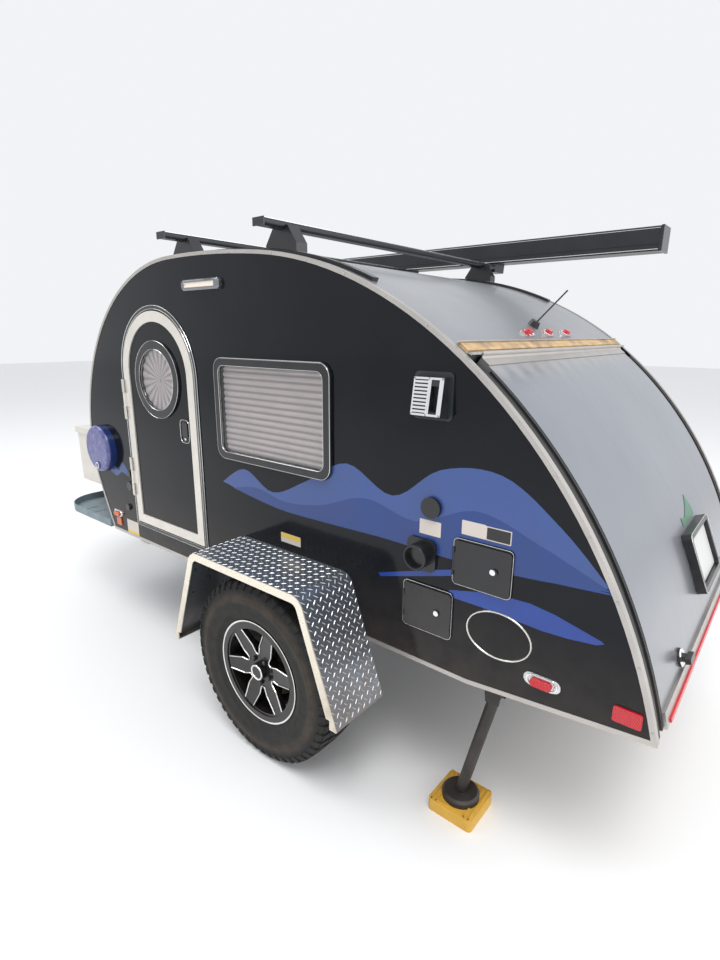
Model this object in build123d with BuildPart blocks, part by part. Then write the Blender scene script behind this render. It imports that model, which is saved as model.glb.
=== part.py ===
"""Teardrop trailer: a small single-axle sleeping trailer with a rear galley hatch.

Frame: +X to the hitch, +Y to the left side, +Z up, ground at z = 0, millimetres.
Side, deck and end planes start under the axle, so their X is a distance from the axle.
"""
import os
from math import atan2, cos, degrees, hypot, radians, sin

from build123d import *

os.makedirs("parts", exist_ok=True)

# Whole trailer
NOSE_X = 2793.5             # coupler nose, ahead of the axle
TAIL_X = -1293.5            # lower edge of the hatch, behind the axle
AXLE_X = -(NOSE_X + TAIL_X) / 2
BODY_HALF = 780.0           # half of the width over the side walls
WALL = 25.0                 # side walls and roof panel
SEAM = 0.2                  # glue line between curved panels
DOOR_GAP = 5.0              # running gap round every door, lid and hatch
REST_GAP = 0.3              # between a piece and what it rests on
PIN_PLAY = 0.06             # radial clearance of every pin in its eye

# Side profile: tangent arcs from the front bottom corner over the roof to the tail
PROFILE_START = (1381.0, 560.0)
PROFILE_HEADING = 64.0
PROFILE = [
    # radius, turn in degrees
    (4100.0, 3.9),
    (513.0, 21.0),
    (879.0, 89.5),
    (4100.0, 7.9),
    (1578.0, 32.2),
    (1691.0, 37.8),
]
ROOF_ARCS = (0, 4)
HATCH_ARCS = (5, 5)
FLOOR_Z = PROFILE_START[1]
KICK_X = -765.0             # where the underside starts to rise to the tail
FLOOR_THICK = 40.0

# Frame of steel tube
RAIL_HIGH = 75.0
RAIL_WIDE = 50.0
RAIL_Y = BODY_HALF - 190.0
RAIL_FRONT_X = 1250.0
RAIL_REAR_X = -1000.0
RAIL_Z = FLOOR_Z - RAIL_HIGH
TONGUE_ROOT_X = 900.0
TONGUE_TIP_X = 2560.0
TONGUE_TIP_Y = 58.0
TONGUE_PLATE_THICK = 6.0

# Wheels
TYRE_R = 362.0
TYRE_WIDE = 200.0
TYRE_CLEAR = 8.0            # between the side wall and the tyre
TRACK_Y = BODY_HALF + TYRE_CLEAR + TYRE_WIDE / 2
RIM_R = 190.0
RIM_LIP_R = 206.0
RIM_WIDE = 156.0
SPOKES = 6
SPINDLE_R = 17.0

# Fenders
FENDER_TOP_Z = 790.0
FENDER_TOP_HALF = 296.0
FENDER_BEND_R = 58.0
FENDER_FOOT_HALF = 450.0
FENDER_FOOT_Z = 366.0
FENDER_WIDE = 250.0
FENDER_SHEET = 4.0
FENDER_LIP = 29.0

# Doors
DOOR_X = 828.5
DOOR_WIDE = 555.0
DOOR_BOTTOM_Z = 669.0
DOOR_ARCH_Z = 1410.0
DOOR_BAND = 45.0
DOOR_BAND_THICK = 6.0
PORTHOLE_Z = 1392.0
PORTHOLE_GLASS_R = 131.0
PORTHOLE_RING_R = 172.0
HINGE_R = 6.0
HINGE_PIN_R = 3.0

# Side windows
WINDOW_X = 91.0
WINDOW_Z = 1305.0
WINDOW_WIDE = 618.0
WINDOW_HIGH = 402.0
WINDOW_BORDER = 30.0

# Hatch
HATCH_THICK = 30.0
JAMB_WIDE = 54.8
HATCH_HALF = BODY_HALF - WALL - SEAM - JAMB_WIDE - DOOR_GAP
HATCH_BEAD_R = 4.0
HATCH_SOCKET_R = 8.0
HATCH_AXIS_RISE = 10.0

# Roof rack and awning
BARS = [
    # distance ahead of the axle, height of the middle
    (50.0, 1948.0),
    (622.0, 1962.0),
]
BAR_DEEP = 52.0
BAR_HIGH = 24.0
BAR_HALF = BODY_HALF + 52.0
TRACK_RAIL_Y = BODY_HALF - 68.0
TRACK_RAIL_WIDE = 30.0
TRACK_RAIL_HIGH = 12.0
AWNING_REAR_X = -778.0
AWNING_LONG = 2080.0
AWNING_WIDE = 125.0
AWNING_HIGH = 108.0
AWNING_Z = 1968.0
AWNING_GAP = 6.0            # between the bar ends and the case
AWNING_Y = -(BAR_HALF + AWNING_GAP + AWNING_WIDE / 2)

# Stabiliser legs
LEG_PIVOT = (-825.0, 500.0)
LEG_FOOT_X = -727.0
LEG_Y = BODY_HALF - 90.0
LEG_R = 19.0
LEG_BOSS = 42.0             # width of the eye at the top of the leg
LEG_EAR = 6.0
LEG_PIN_R = 8.0
FOOT_R = 64.0
FOOT_HIGH = 26.0
BLOCK_SIDE = 165.0
BLOCK_HIGH = 46.0

# Tongue
JACK_X = 2420.0
JACK_TUBE_R = 28.0
JACK_LEG_R = 24.0
JACK_TUBE_Z = 250.0
JACK_TOP_Z = 950.0
TRAY_REAR_X = 1425.0
TRAY_LONG = 590.0
TRAY_HALF = BODY_HALF + 5.0
TRAY_RIM = 42.0
BOX_REAR_X = 1585.0
BOX_LONG = 400.0
BOX_HALF = 655.0
BOX_Z = 715.0
BOX_HIGH = 320.0
BOX_LID_HIGH = 34.0
SHEET = 3.0


def side(y):
    """Plane of a side view at this y; its extrusions run towards the right side."""
    return Plane(origin=(AXLE_X, y, 0), x_dir=(1, 0, 0), z_dir=(0, -1, 0))


def deck(z):
    """Plane of a plan view at this height."""
    return Plane(origin=(AXLE_X, 0, z), x_dir=(1, 0, 0), z_dir=(0, 0, 1))


def end(x):
    """Plane of a front view at this distance from the axle."""
    return Plane(origin=(AXLE_X + x, 0, 0), x_dir=(0, 1, 0), z_dir=(1, 0, 0))


def write(part, name):
    """Label a finished piece and write its file."""
    part.label = name
    export_step(part, f"parts/{name}.step")


def pair(part):
    """A left-hand piece with its mirror image on the right, as one part."""
    return Part() + [part, mirror(part, about=Plane.XZ)]


def write_sides(part, left, right):
    """Write a left-hand piece and its mirror image."""
    twin = mirror(part, about=Plane.XZ)
    write(part, left)
    write(twin, right)


def outline(inset, first=0, last=len(PROFILE) - 1, cut_start=0.0, cut_end=0.0):
    """Arcs of the side profile, moved inwards, each as start, middle and end."""
    x, z = PROFILE_START
    heading = radians(PROFILE_HEADING)
    arcs = []
    for number, (radius, turn) in enumerate(PROFILE):
        sweep = radians(turn)
        centre = (x - radius * sin(heading), z + radius * cos(heading))
        low = cut_start / radius if number == first else 0.0
        high = sweep - (cut_end / radius if number == last else 0.0)
        stations = []
        for angle in (low, (low + high) / 2, high):
            reach = radius - inset
            stations.append((centre[0] + reach * sin(heading + angle),
                             centre[1] - reach * cos(heading + angle)))
        if first <= number <= last:
            arcs.append(stations)
        heading += sweep
        x = centre[0] + radius * sin(heading)
        z = centre[1] - radius * cos(heading)
    return arcs


def skin(outer, inner, first, last, cut_start=0.0, cut_end=0.0):
    """Face between two insets of the profile, inside an open sketch."""
    over = outline(outer, first, last, cut_start, cut_end)
    under = outline(inner, first, last, cut_start, cut_end)
    with BuildLine() as border:
        for start, middle, stop in over:
            ThreePointArc(start, middle, stop)
        Line(over[-1][2], under[-1][2])
        for start, middle, stop in reversed(under):
            ThreePointArc(stop, middle, start)
        Line(under[0][0], over[0][0])
    make_face(border.edges())


def body_face(inset):
    """Whole side outline of the body, inside an open sketch."""
    arcs = outline(inset)
    with BuildLine() as border:
        for start, middle, stop in arcs:
            ThreePointArc(start, middle, stop)
        Polyline(arcs[-1][2], (KICK_X, FLOOR_Z), arcs[0][0])
    make_face(border.edges())


def surface(distance, lift):
    """Point and inward normal on the roof line, this far ahead of the hatch hinge."""
    radius, turn = PROFILE[ROOF_ARCS[1]]
    start, middle, stop = outline(-lift, ROOF_ARCS[1], ROOF_ARCS[1], cut_end=distance)[0]
    heading = radians(PROFILE_HEADING + sum(row[1] for row in PROFILE[:ROOF_ARCS[1] + 1]))
    heading -= distance / radius
    return stop, heading


def hatch_plane(distance, y):
    """Plane that touches the hatch skin this far behind its hinge."""
    radius, turn = PROFILE[HATCH_ARCS[0]]
    point = outline(0, *HATCH_ARCS, cut_start=distance)[0][0]
    heading = radians(PROFILE_HEADING + sum(row[1] for row in PROFILE[:HATCH_ARCS[0]]))
    heading += distance / radius
    return Plane(origin=(AXLE_X + point[0], y, point[1]), x_dir=(0, 1, 0),
                 z_dir=(sin(heading), 0, -cos(heading)))


def door_face(grow):
    """Arched door outline grown by this much, inside an open sketch."""
    half = DOOR_WIDE / 2 + grow
    low = DOOR_BOTTOM_Z - grow
    with BuildLine() as border:
        Polyline((DOOR_X - half, DOOR_ARCH_Z), (DOOR_X - half, low),
                 (DOOR_X + half, low), (DOOR_X + half, DOOR_ARCH_Z))
        ThreePointArc((DOOR_X + half, DOOR_ARCH_Z), (DOOR_X, DOOR_ARCH_Z + half),
                      (DOOR_X - half, DOOR_ARCH_Z))
    make_face(border.edges())


SMALL_DOORS = [
    # name, x, z, wide, high
    ("access_door_a", -791.0, 952.0, 187.0, 148.0),
    ("access_door_b", -615.0, 763.0, 180.0, 161.0),
]
SMALL_BORDER = 13.0
SMALL_RIM = 5.0

# Floor and inner volume
with BuildPart() as cavity:
    with BuildSketch(side(BODY_HALF - WALL - SEAM)):
        body_face(WALL + SEAM)
    extrude(amount=2 * (BODY_HALF - WALL - SEAM))

with BuildPart() as floor:
    with BuildSketch(side(BODY_HALF - WALL - SEAM)):
        tail = outline(0)[-1][2]
        nose = outline(0)[0][0]
        with BuildLine():
            Polyline(nose, (KICK_X, FLOOR_Z), tail, (tail[0], tail[1] + FLOOR_THICK),
                     (KICK_X, FLOOR_Z + FLOOR_THICK), (nose[0] + WALL, FLOOR_Z + FLOOR_THICK),
                     close=True)
        make_face()
    extrude(amount=2 * (BODY_HALF - WALL - SEAM))
    add(cavity.part, mode=Mode.INTERSECT)
    with BuildSketch(side(BODY_HALF)):
        skin(-20, HATCH_THICK + DOOR_GAP, *HATCH_ARCS)
    extrude(amount=2 * BODY_HALF, mode=Mode.SUBTRACT)
write(floor.part, "floor")

# Side walls, cut for the door and window, and on the left for the two small doors
with BuildPart() as wall_right:
    with BuildSketch(side(BODY_HALF)):
        body_face(0)
    extrude(amount=WALL)
    with BuildSketch(side(BODY_HALF)):
        door_face(DOOR_GAP)
    extrude(amount=WALL, mode=Mode.SUBTRACT)
    with BuildSketch(side(BODY_HALF)):
        with Locations((WINDOW_X, WINDOW_Z)):
            RectangleRounded(WINDOW_WIDE - 2 * WINDOW_BORDER, WINDOW_HIGH - 2 * WINDOW_BORDER, 30)
    extrude(amount=WALL, mode=Mode.SUBTRACT)

with BuildPart() as wall_left:
    add(wall_right.part)
    for name, x, z, wide, high in SMALL_DOORS:
        with BuildSketch(side(BODY_HALF)):
            with Locations((x, z)):
                RectangleRounded(wide - 2 * SMALL_BORDER, high - 2 * SMALL_BORDER, 8)
        extrude(amount=WALL, mode=Mode.SUBTRACT)
write(wall_left.part, "side_wall_left")
write(mirror(wall_right.part, about=Plane.XZ), "side_wall_right")

# Roof and nose panel between the walls
ROOF_END_GAP = 3.0
with BuildPart() as roof:
    with BuildSketch(side(BODY_HALF - WALL - SEAM)):
        skin(0, WALL, *ROOF_ARCS, cut_end=ROOF_END_GAP)
    extrude(amount=2 * (BODY_HALF - WALL - SEAM))
write(roof.part, "roof_panel")

# Bright edge extrusion round each wall
TRIM_THICK = 2.5
TRIM_FACE = 11.0
TRIM_OVER = 20.0
TRIM_FOOT = 15.0
with BuildPart() as trim:
    with BuildSketch(side(BODY_HALF + TRIM_THICK)):
        skin(-TRIM_THICK, TRIM_FACE, 0, HATCH_ARCS[1])
    extrude(amount=TRIM_THICK)
    with BuildSketch(side(BODY_HALF)):
        skin(-TRIM_THICK, 0, *ROOF_ARCS)
    extrude(amount=TRIM_OVER)
    with BuildSketch(side(BODY_HALF + TRIM_THICK)):
        with BuildLine():
            Polyline(nose, (KICK_X, FLOOR_Z), tail, (tail[0], tail[1] + TRIM_FOOT),
                     (KICK_X, FLOOR_Z + TRIM_FOOT), (nose[0] + 3, FLOOR_Z + TRIM_FOOT), close=True)
        make_face()
    extrude(amount=TRIM_THICK)
    with BuildSketch(side(BODY_HALF)):
        skin(-TRIM_THICK, 0, *HATCH_ARCS)
    extrude(amount=TRIM_OVER)
write(pair(trim.part), "edge_trims")

# Black rubber-faced jamb inside each wall, beside the hatch
JAMB_DEEP = 26.0
JAMB_STEP = 7.0
JAMB_LIP = 20.0
JAMB_EDGE = 8.0
with BuildPart() as jamb:
    with BuildSketch(side(BODY_HALF - WALL - SEAM)):
        skin(1, JAMB_DEEP, *HATCH_ARCS, cut_start=60, cut_end=2)
    extrude(amount=JAMB_WIDE)
    with BuildSketch(side(BODY_HALF - WALL - JAMB_LIP)):
        skin(-1, JAMB_STEP, *HATCH_ARCS, cut_start=58, cut_end=0)
    extrude(amount=JAMB_WIDE - JAMB_LIP - JAMB_EDGE, mode=Mode.SUBTRACT)
write(pair(jamb.part), "hatch_jambs")

# Hatch: curved panel with side ribs and a lower extrusion
HATCH_RIB = 26.0
HATCH_RIB_DEEP = 34.0
HATCH_FOOT = 46.0
with BuildPart() as hatch:
    with BuildSketch(side(HATCH_HALF)):
        skin(0, HATCH_THICK, *HATCH_ARCS, cut_start=8, cut_end=6)
    extrude(amount=2 * HATCH_HALF)
    for y in (HATCH_HALF, HATCH_RIB - HATCH_HALF):
        with BuildSketch(side(y)):
            skin(HATCH_THICK, HATCH_THICK + HATCH_RIB_DEEP, *HATCH_ARCS, cut_start=60, cut_end=60)
        extrude(amount=HATCH_RIB)
write(hatch.part, "hatch_panel")

HATCH_LONG = radians(PROFILE[5][1]) * PROFILE[5][0]
HATCH_FOOT_PROUD = 8.0
with BuildPart() as hatch_foot:
    with BuildSketch(side(HATCH_HALF)):
        skin(-HATCH_FOOT_PROUD, 0, *HATCH_ARCS, cut_start=HATCH_LONG - HATCH_FOOT, cut_end=0)
        skin(0, HATCH_THICK, *HATCH_ARCS, cut_start=HATCH_LONG - 5.5, cut_end=0)
    extrude(amount=2 * HATCH_HALF)

# Red lamp bar along the lower edge of the hatch
with BuildPart() as light_bar:
    with BuildSketch(side(HATCH_HALF - 30)):
        skin(-HATCH_FOOT_PROUD - 5, -HATCH_FOOT_PROUD - REST_GAP, *HATCH_ARCS,
             cut_start=HATCH_LONG - 15, cut_end=4)
    extrude(amount=2 * (HATCH_HALF - 30))
write(light_bar.part, "hatch_light_bar")

# Hatch hinge: a bead on the roof rail turns in a slotted socket on the hatch rail
hinge_point, hinge_heading = surface(0, 0)
along = (cos(hinge_heading), sin(hinge_heading))
inward = (-sin(hinge_heading), cos(hinge_heading))


def at_hinge(distance, depth):
    """Point this far past the hinge along the skin and this deep below it."""
    return (hinge_point[0] + along[0] * distance + inward[0] * depth,
            hinge_point[1] + along[1] * distance + inward[1] * depth)


HINGE_AXIS = at_hinge(0, -HATCH_AXIS_RISE)
RAIL_SHEET = 2.4
WEB_THICK = 2.4
LIP_FORWARD = 52.0
LIP_THICK = 4.0
LIP_HIGH = 14.0
LIP_NOTCHES = 13
LIP_NOTCH_WIDE = 2.5
ROOF_LONG = radians(PROFILE[4][1]) * PROFILE[4][0]
RAIL_HALF = BODY_HALF - WALL - 1
with BuildPart() as roof_rail:
    with BuildSketch(side(RAIL_HALF)):
        skin(-RAIL_SHEET, 0, ROOF_ARCS[1], ROOF_ARCS[1],
             cut_start=ROOF_LONG - LIP_FORWARD, cut_end=9)
        with BuildLine():
            Polyline(at_hinge(-15, -0.6), at_hinge(-11.5, -0.6), HINGE_AXIS,
                     at_hinge(-2.6, -HATCH_AXIS_RISE - 1.4), close=True)
        make_face()
        with Locations(HINGE_AXIS):
            Circle(HATCH_BEAD_R)
        skin(-LIP_HIGH, -RAIL_SHEET, ROOF_ARCS[1], ROOF_ARCS[1],
             cut_start=ROOF_LONG - LIP_FORWARD, cut_end=LIP_FORWARD - LIP_THICK)
    extrude(amount=2 * RAIL_HALF)
    for number in range(LIP_NOTCHES):
        y = RAIL_HALF - (number + 1) * 2 * RAIL_HALF / (LIP_NOTCHES + 1)
        with BuildSketch(side(y + LIP_NOTCH_WIDE / 2)):
            skin(-LIP_HIGH - 1, -RAIL_SHEET - 3, ROOF_ARCS[1], ROOF_ARCS[1],
                 cut_start=ROOF_LONG - LIP_FORWARD - 1, cut_end=LIP_FORWARD - LIP_THICK - 1)
        extrude(amount=LIP_NOTCH_WIDE, mode=Mode.SUBTRACT)
write(roof_rail.part, "hatch_hinge_rail")

with BuildPart() as hatch_rail:
    with BuildSketch(side(HATCH_HALF)):
        with Locations(HINGE_AXIS):
            Circle(HATCH_SOCKET_R)
        with BuildLine():
            Polyline(at_hinge(8, -3), at_hinge(8, 0), at_hinge(40, 0), at_hinge(40, -RAIL_SHEET),
                     at_hinge(14, -RAIL_SHEET), at_hinge(4, -9), close=True)
        make_face()
        with Locations(HINGE_AXIS):
            Circle(HATCH_BEAD_R + 0.08, mode=Mode.SUBTRACT)
        with BuildLine():
            Polyline(HINGE_AXIS, at_hinge(-10, 4), at_hinge(-20, -10), at_hinge(-12, -26),
                     at_hinge(-1, -29), close=True)
        make_face(mode=Mode.SUBTRACT)
    extrude(amount=2 * HATCH_HALF)
write(Part() + [hatch_rail.part, hatch_foot.part], "hatch_rails")

# Bare wood strip that lies between the two rails since its cover went missing
STRIP_HIGH = 9.0
with BuildPart() as strip:
    with BuildSketch(side(RAIL_HALF - 8)):
        skin(-STRIP_HIGH, -RAIL_SHEET, ROOF_ARCS[1], ROOF_ARCS[1],
             cut_start=ROOF_LONG - LIP_FORWARD + LIP_THICK + SEAM, cut_end=16)
    extrude(amount=2 * RAIL_HALF - 16)
write(strip.part, "hinge_wood_strip")

# Bulkhead, galley and mattress
BULKHEAD_X = -560.0
BULKHEAD_THICK = 18.0
BULKHEAD_REACH = 2000.0     # above the roof, which trims it
GALLEY_Z = 940.0
GALLEY_REAR_X = -1030.0
GALLEY_SHEET = 16.0
KICK_Z = 640.0
FLOOR_TOP = FLOOR_Z + FLOOR_THICK
with BuildPart() as bulkhead:
    with BuildSketch(end(BULKHEAD_X)):
        with Locations((0, (FLOOR_TOP + BULKHEAD_REACH) / 2)):
            Rectangle(2 * BODY_HALF, BULKHEAD_REACH - FLOOR_TOP)
    extrude(amount=-BULKHEAD_THICK)
    add(cavity.part, mode=Mode.INTERSECT)

GALLEY_HALF = BODY_HALF - WALL - 2 * SEAM
with BuildPart() as galley:
    add(bulkhead.part)
    with BuildSketch(deck(GALLEY_Z - GALLEY_SHEET)):
        with Locations(((BULKHEAD_X - BULKHEAD_THICK + GALLEY_REAR_X) / 2, 0)):
            Rectangle(BULKHEAD_X - BULKHEAD_THICK - GALLEY_REAR_X, 2 * GALLEY_HALF)
    extrude(amount=GALLEY_SHEET)
    for y in (GALLEY_HALF - GALLEY_SHEET / 2, 0, GALLEY_SHEET / 2 - GALLEY_HALF):
        with BuildSketch(side(y + GALLEY_SHEET / 2)):
            with BuildLine():
                Polyline((BULKHEAD_X - BULKHEAD_THICK, FLOOR_TOP),
                         (BULKHEAD_X - BULKHEAD_THICK, GALLEY_Z),
                         (GALLEY_REAR_X, GALLEY_Z), (GALLEY_REAR_X, KICK_Z), (KICK_X, FLOOR_TOP),
                         close=True)
            make_face()
        extrude(amount=GALLEY_SHEET)
write(galley.part, "galley")

MATTRESS_HIGH = 100.0
MATTRESS_FRONT_X = 1280.0
MATTRESS_HALF = BODY_HALF - WALL - 20.0
with BuildPart() as mattress:
    with BuildSketch(deck(FLOOR_TOP + REST_GAP)):
        with Locations(((BULKHEAD_X + 3 + MATTRESS_FRONT_X) / 2, 0)):
            RectangleRounded(MATTRESS_FRONT_X - BULKHEAD_X - 3, 2 * MATTRESS_HALF, 60)
    extrude(amount=MATTRESS_HIGH)
write(mattress.part, "mattress")

# Doors: leaf, bright band, porthole and handle, and the flange round the opening
LEAF_INSET = 2.0
PORTHOLE_SLEEVE_R = 148.0
with BuildPart() as leaf:
    with BuildSketch(side(BODY_HALF)):
        door_face(0)
    extrude(amount=WALL - LEAF_INSET)
    with BuildSketch(side(BODY_HALF)):
        with Locations((DOOR_X, PORTHOLE_Z)):
            Circle(PORTHOLE_SLEEVE_R + SEAM)
    extrude(amount=WALL, mode=Mode.SUBTRACT)
write_sides(leaf.part, "door_left_leaf", "door_right_leaf")

KNUCKLE_X = DOOR_X + DOOR_WIDE / 2 + 7
KNUCKLE_Y = BODY_HALF + DOOR_BAND_THICK + HINGE_R + 0.5
HINGES = [
    # middle height, length
    (1285.0, 190.0),
    (900.0, 190.0),
]
HINGE_PLATE = 2.5
HINGE_THIRD = 0.34
with BuildPart() as band:
    with BuildSketch(side(BODY_HALF + DOOR_BAND_THICK)):
        door_face(0)
    extrude(amount=DOOR_BAND_THICK)
    with BuildSketch(side(BODY_HALF + DOOR_BAND_THICK)):
        door_face(-DOOR_BAND)
    extrude(amount=DOOR_BAND_THICK, mode=Mode.SUBTRACT)
    for z, long in HINGES:
        span = long * HINGE_THIRD
        with BuildSketch(deck(z - span / 2)):
            with Locations((KNUCKLE_X, KNUCKLE_Y)):
                Circle(HINGE_R)
            with BuildLine():
                low = BODY_HALF + DOOR_BAND_THICK
                Polyline((KNUCKLE_X - 40, low), (KNUCKLE_X - 40, low + HINGE_PLATE),
                         (KNUCKLE_X - 8, low + HINGE_PLATE), (KNUCKLE_X - 1, low + 5.5),
                         (KNUCKLE_X - 4, low + 1.2), (KNUCKLE_X - 9, low), close=True)
            make_face()
            with Locations((KNUCKLE_X, KNUCKLE_Y)):
                Circle(HINGE_PIN_R + PIN_PLAY, mode=Mode.SUBTRACT)
        extrude(amount=span)
write_sides(band.part, "door_left_band", "door_right_band")

FLANGE_WIDE = 18.0
FLANGE_THICK = 3.0
with BuildPart() as flange:
    with BuildSketch(side(BODY_HALF + FLANGE_THICK)):
        door_face(DOOR_GAP + 1 + FLANGE_WIDE)
    extrude(amount=FLANGE_THICK)
    with BuildSketch(side(BODY_HALF + FLANGE_THICK)):
        door_face(DOOR_GAP + 1)
    extrude(amount=FLANGE_THICK, mode=Mode.SUBTRACT)
    for z, long in HINGES:
        span = long * HINGE_THIRD
        with BuildSketch(deck(z - long / 2)):
            with Locations((KNUCKLE_X, KNUCKLE_Y)):
                Circle(HINGE_PIN_R)
        extrude(amount=long)
        for low_z in (z - long / 2, z + span / 2 + 0.5):
            with BuildSketch(deck(low_z)):
                with Locations((KNUCKLE_X, KNUCKLE_Y)):
                    Circle(HINGE_R)
                with BuildLine():
                    low = BODY_HALF + FLANGE_THICK
                    Polyline((KNUCKLE_X, low + 5), (KNUCKLE_X + 5, low), (KNUCKLE_X + 30, low),
                             (KNUCKLE_X + 30, low + HINGE_PLATE), (KNUCKLE_X + 8, low + HINGE_PLATE),
                             (KNUCKLE_X + 4, low + 8), close=True)
                make_face()
            extrude(amount=(long - span) / 2 - 0.5)
write(pair(flange.part), "door_frames")

with BuildPart() as ring:
    with BuildSketch(side(BODY_HALF + 10)):
        with Locations((DOOR_X, PORTHOLE_Z)):
            Circle(PORTHOLE_RING_R)
            Circle(PORTHOLE_GLASS_R + 3, mode=Mode.SUBTRACT)
    extrude(amount=10)
    with BuildSketch(side(BODY_HALF)):
        with Locations((DOOR_X, PORTHOLE_Z)):
            Circle(PORTHOLE_SLEEVE_R)
            Circle(PORTHOLE_GLASS_R + 3, mode=Mode.SUBTRACT)
    extrude(amount=WALL - LEAF_INSET)
    outer_rim = ring.edges().filter_by(GeomType.CIRCLE).sort_by(Axis.Y)[-2:]
    fillet(outer_rim, 4)

with BuildPart() as porthole_glass:
    with BuildSketch(side(BODY_HALF + 2)):
        with Locations((DOOR_X, PORTHOLE_Z)):
            Circle(PORTHOLE_GLASS_R + 3 - REST_GAP)
    extrude(amount=5)
write_sides(porthole_glass.part, "door_left_glass", "door_right_glass")

with BuildPart() as porthole_shade:
    with BuildSketch(side(BODY_HALF - 12)):
        with Locations((DOOR_X, PORTHOLE_Z)):
            Circle(PORTHOLE_GLASS_R + 3 - REST_GAP)
    extrude(amount=4)
write_sides(porthole_shade.part, "door_left_shade", "door_right_shade")

HANDLE_X = 638.0
HANDLE_Z = 1182.0
with BuildPart() as handle:
    with BuildSketch(side(BODY_HALF + 5)):
        with Locations((HANDLE_X, HANDLE_Z)):
            RectangleRounded(72, 104, 12)
    extrude(amount=5)
    with BuildSketch(side(BODY_HALF + 5)):
        with Locations((HANDLE_X, HANDLE_Z)):
            RectangleRounded(56, 88, 8)
    extrude(amount=3, mode=Mode.SUBTRACT)
    with BuildSketch(side(BODY_HALF + 9)):
        with Locations((HANDLE_X - 4, HANDLE_Z + 8)):
            RectangleRounded(40, 60, 6)
    extrude(amount=7)
write_sides(Part() + [ring.part, handle.part], "door_left_fittings", "door_right_fittings")

# Side windows: frame, pane and the folded shade behind it
FRAME_PROUD = 14.0
with BuildPart() as window_frame:
    with BuildSketch(side(BODY_HALF + FRAME_PROUD)):
        with Locations((WINDOW_X, WINDOW_Z)):
            RectangleRounded(WINDOW_WIDE, WINDOW_HIGH, 48)
            RectangleRounded(WINDOW_WIDE - 2 * WINDOW_BORDER, WINDOW_HIGH - 2 * WINDOW_BORDER, 30,
                             mode=Mode.SUBTRACT)
    extrude(amount=FRAME_PROUD)
    chamfer(window_frame.faces().sort_by(Axis.Y)[-1].outer_wire().edges(), 5)
write(pair(window_frame.part), "window_frames")

for name, y, thick in (("window_panes", BODY_HALF + 8, 5), ("window_shades", BODY_HALF - 14, 5)):
    with BuildPart() as pane:
        with BuildSketch(side(y)):
            with Locations((WINDOW_X, WINDOW_Z)):
                RectangleRounded(WINDOW_WIDE - 2 * WINDOW_BORDER - 2 * REST_GAP,
                                 WINDOW_HIGH - 2 * WINDOW_BORDER - 2 * REST_GAP, 30 - REST_GAP)
        extrude(amount=thick)
    write(pair(pane.part), name)

# Small doors on the left wall, each with a frame, two hinge knuckles and a lock
SMALL_LID = 5.0
with BuildPart() as small_frames:
    for name, x, z, wide, high in SMALL_DOORS:
        with BuildSketch(side(BODY_HALF + SMALL_RIM)):
            with Locations((x, z)):
                RectangleRounded(wide, high, 16)
                RectangleRounded(wide - 2 * SMALL_BORDER, high - 2 * SMALL_BORDER, 8,
                                 mode=Mode.SUBTRACT)
        extrude(amount=SMALL_RIM)
        hinge_x = x + wide / 2 - 4
        for low_z in (z - 44, z + 30):
            with BuildSketch(deck(low_z)):
                with Locations((hinge_x, BODY_HALF + SMALL_RIM + 4)):
                    Circle(3.6)
                with Locations((hinge_x + 1.5, BODY_HALF + SMALL_RIM + 1)):
                    Rectangle(4, 4)
            extrude(amount=14)
        with BuildSketch(deck(z - 44)):
            with Locations((hinge_x, BODY_HALF + SMALL_RIM + 4)):
                Circle(1.6)
        extrude(amount=88)
write(small_frames.part, "access_frames")

for name, x, z, wide, high in SMALL_DOORS:
    hinge_x = x + wide / 2 - 4
    lid_wide = wide - 2 * SMALL_BORDER + 14
    lid_high = high - 2 * SMALL_BORDER + 12
    with BuildPart() as small_lid:
        with BuildSketch(side(BODY_HALF + SMALL_RIM + REST_GAP + SMALL_LID)):
            with Locations((x - 2, z)):
                RectangleRounded(lid_wide, lid_high, 10)
        extrude(amount=SMALL_LID)
        with BuildSketch(side(BODY_HALF + SMALL_RIM + REST_GAP + SMALL_LID + 4)):
            with Locations((x - wide / 2 + 52, z)):
                Circle(11)
        extrude(amount=4)
        with BuildSketch(deck(z - 29)):
            with Locations((hinge_x, BODY_HALF + SMALL_RIM + 4)):
                Circle(3.6)
            with Locations((hinge_x - 6, BODY_HALF + SMALL_RIM + 3)):
                Rectangle(8, 4)
            with Locations((hinge_x, BODY_HALF + SMALL_RIM + 4)):
                Circle(1.6 + PIN_PLAY, mode=Mode.SUBTRACT)
        extrude(amount=58)
        for low_z in (z - 46, z + 29):
            with BuildSketch(deck(low_z)):
                with Locations((hinge_x, BODY_HALF + SMALL_RIM + 4)):
                    Rectangle(12.5, 30)
            extrude(amount=17, mode=Mode.SUBTRACT)
    write(small_lid.part, name)

# Fittings on the walls
PORCH_X = 450.0
PORCH_Z = 1776.0
PORCH_LONG = 240.0
PORCH_HIGH = 40.0
PORCH_PROUD = 20.0
with BuildPart() as porch:
    with BuildSketch(side(BODY_HALF + PORCH_PROUD)):
        with Locations((PORCH_X, PORCH_Z)):
            RectangleRounded(PORCH_LONG, PORCH_HIGH, 14)
    extrude(amount=PORCH_PROUD)
    chamfer(porch.faces().sort_by(Axis.Y)[-1].edges(), 7)
    with BuildSketch(side(BODY_HALF + PORCH_PROUD)):
        with Locations((PORCH_X, PORCH_Z)):
            RectangleRounded(PORCH_LONG - 52, PORCH_HIGH - 22, 6)
    extrude(amount=3, mode=Mode.SUBTRACT)
write(pair(porch.part), "porch_lights")

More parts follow.
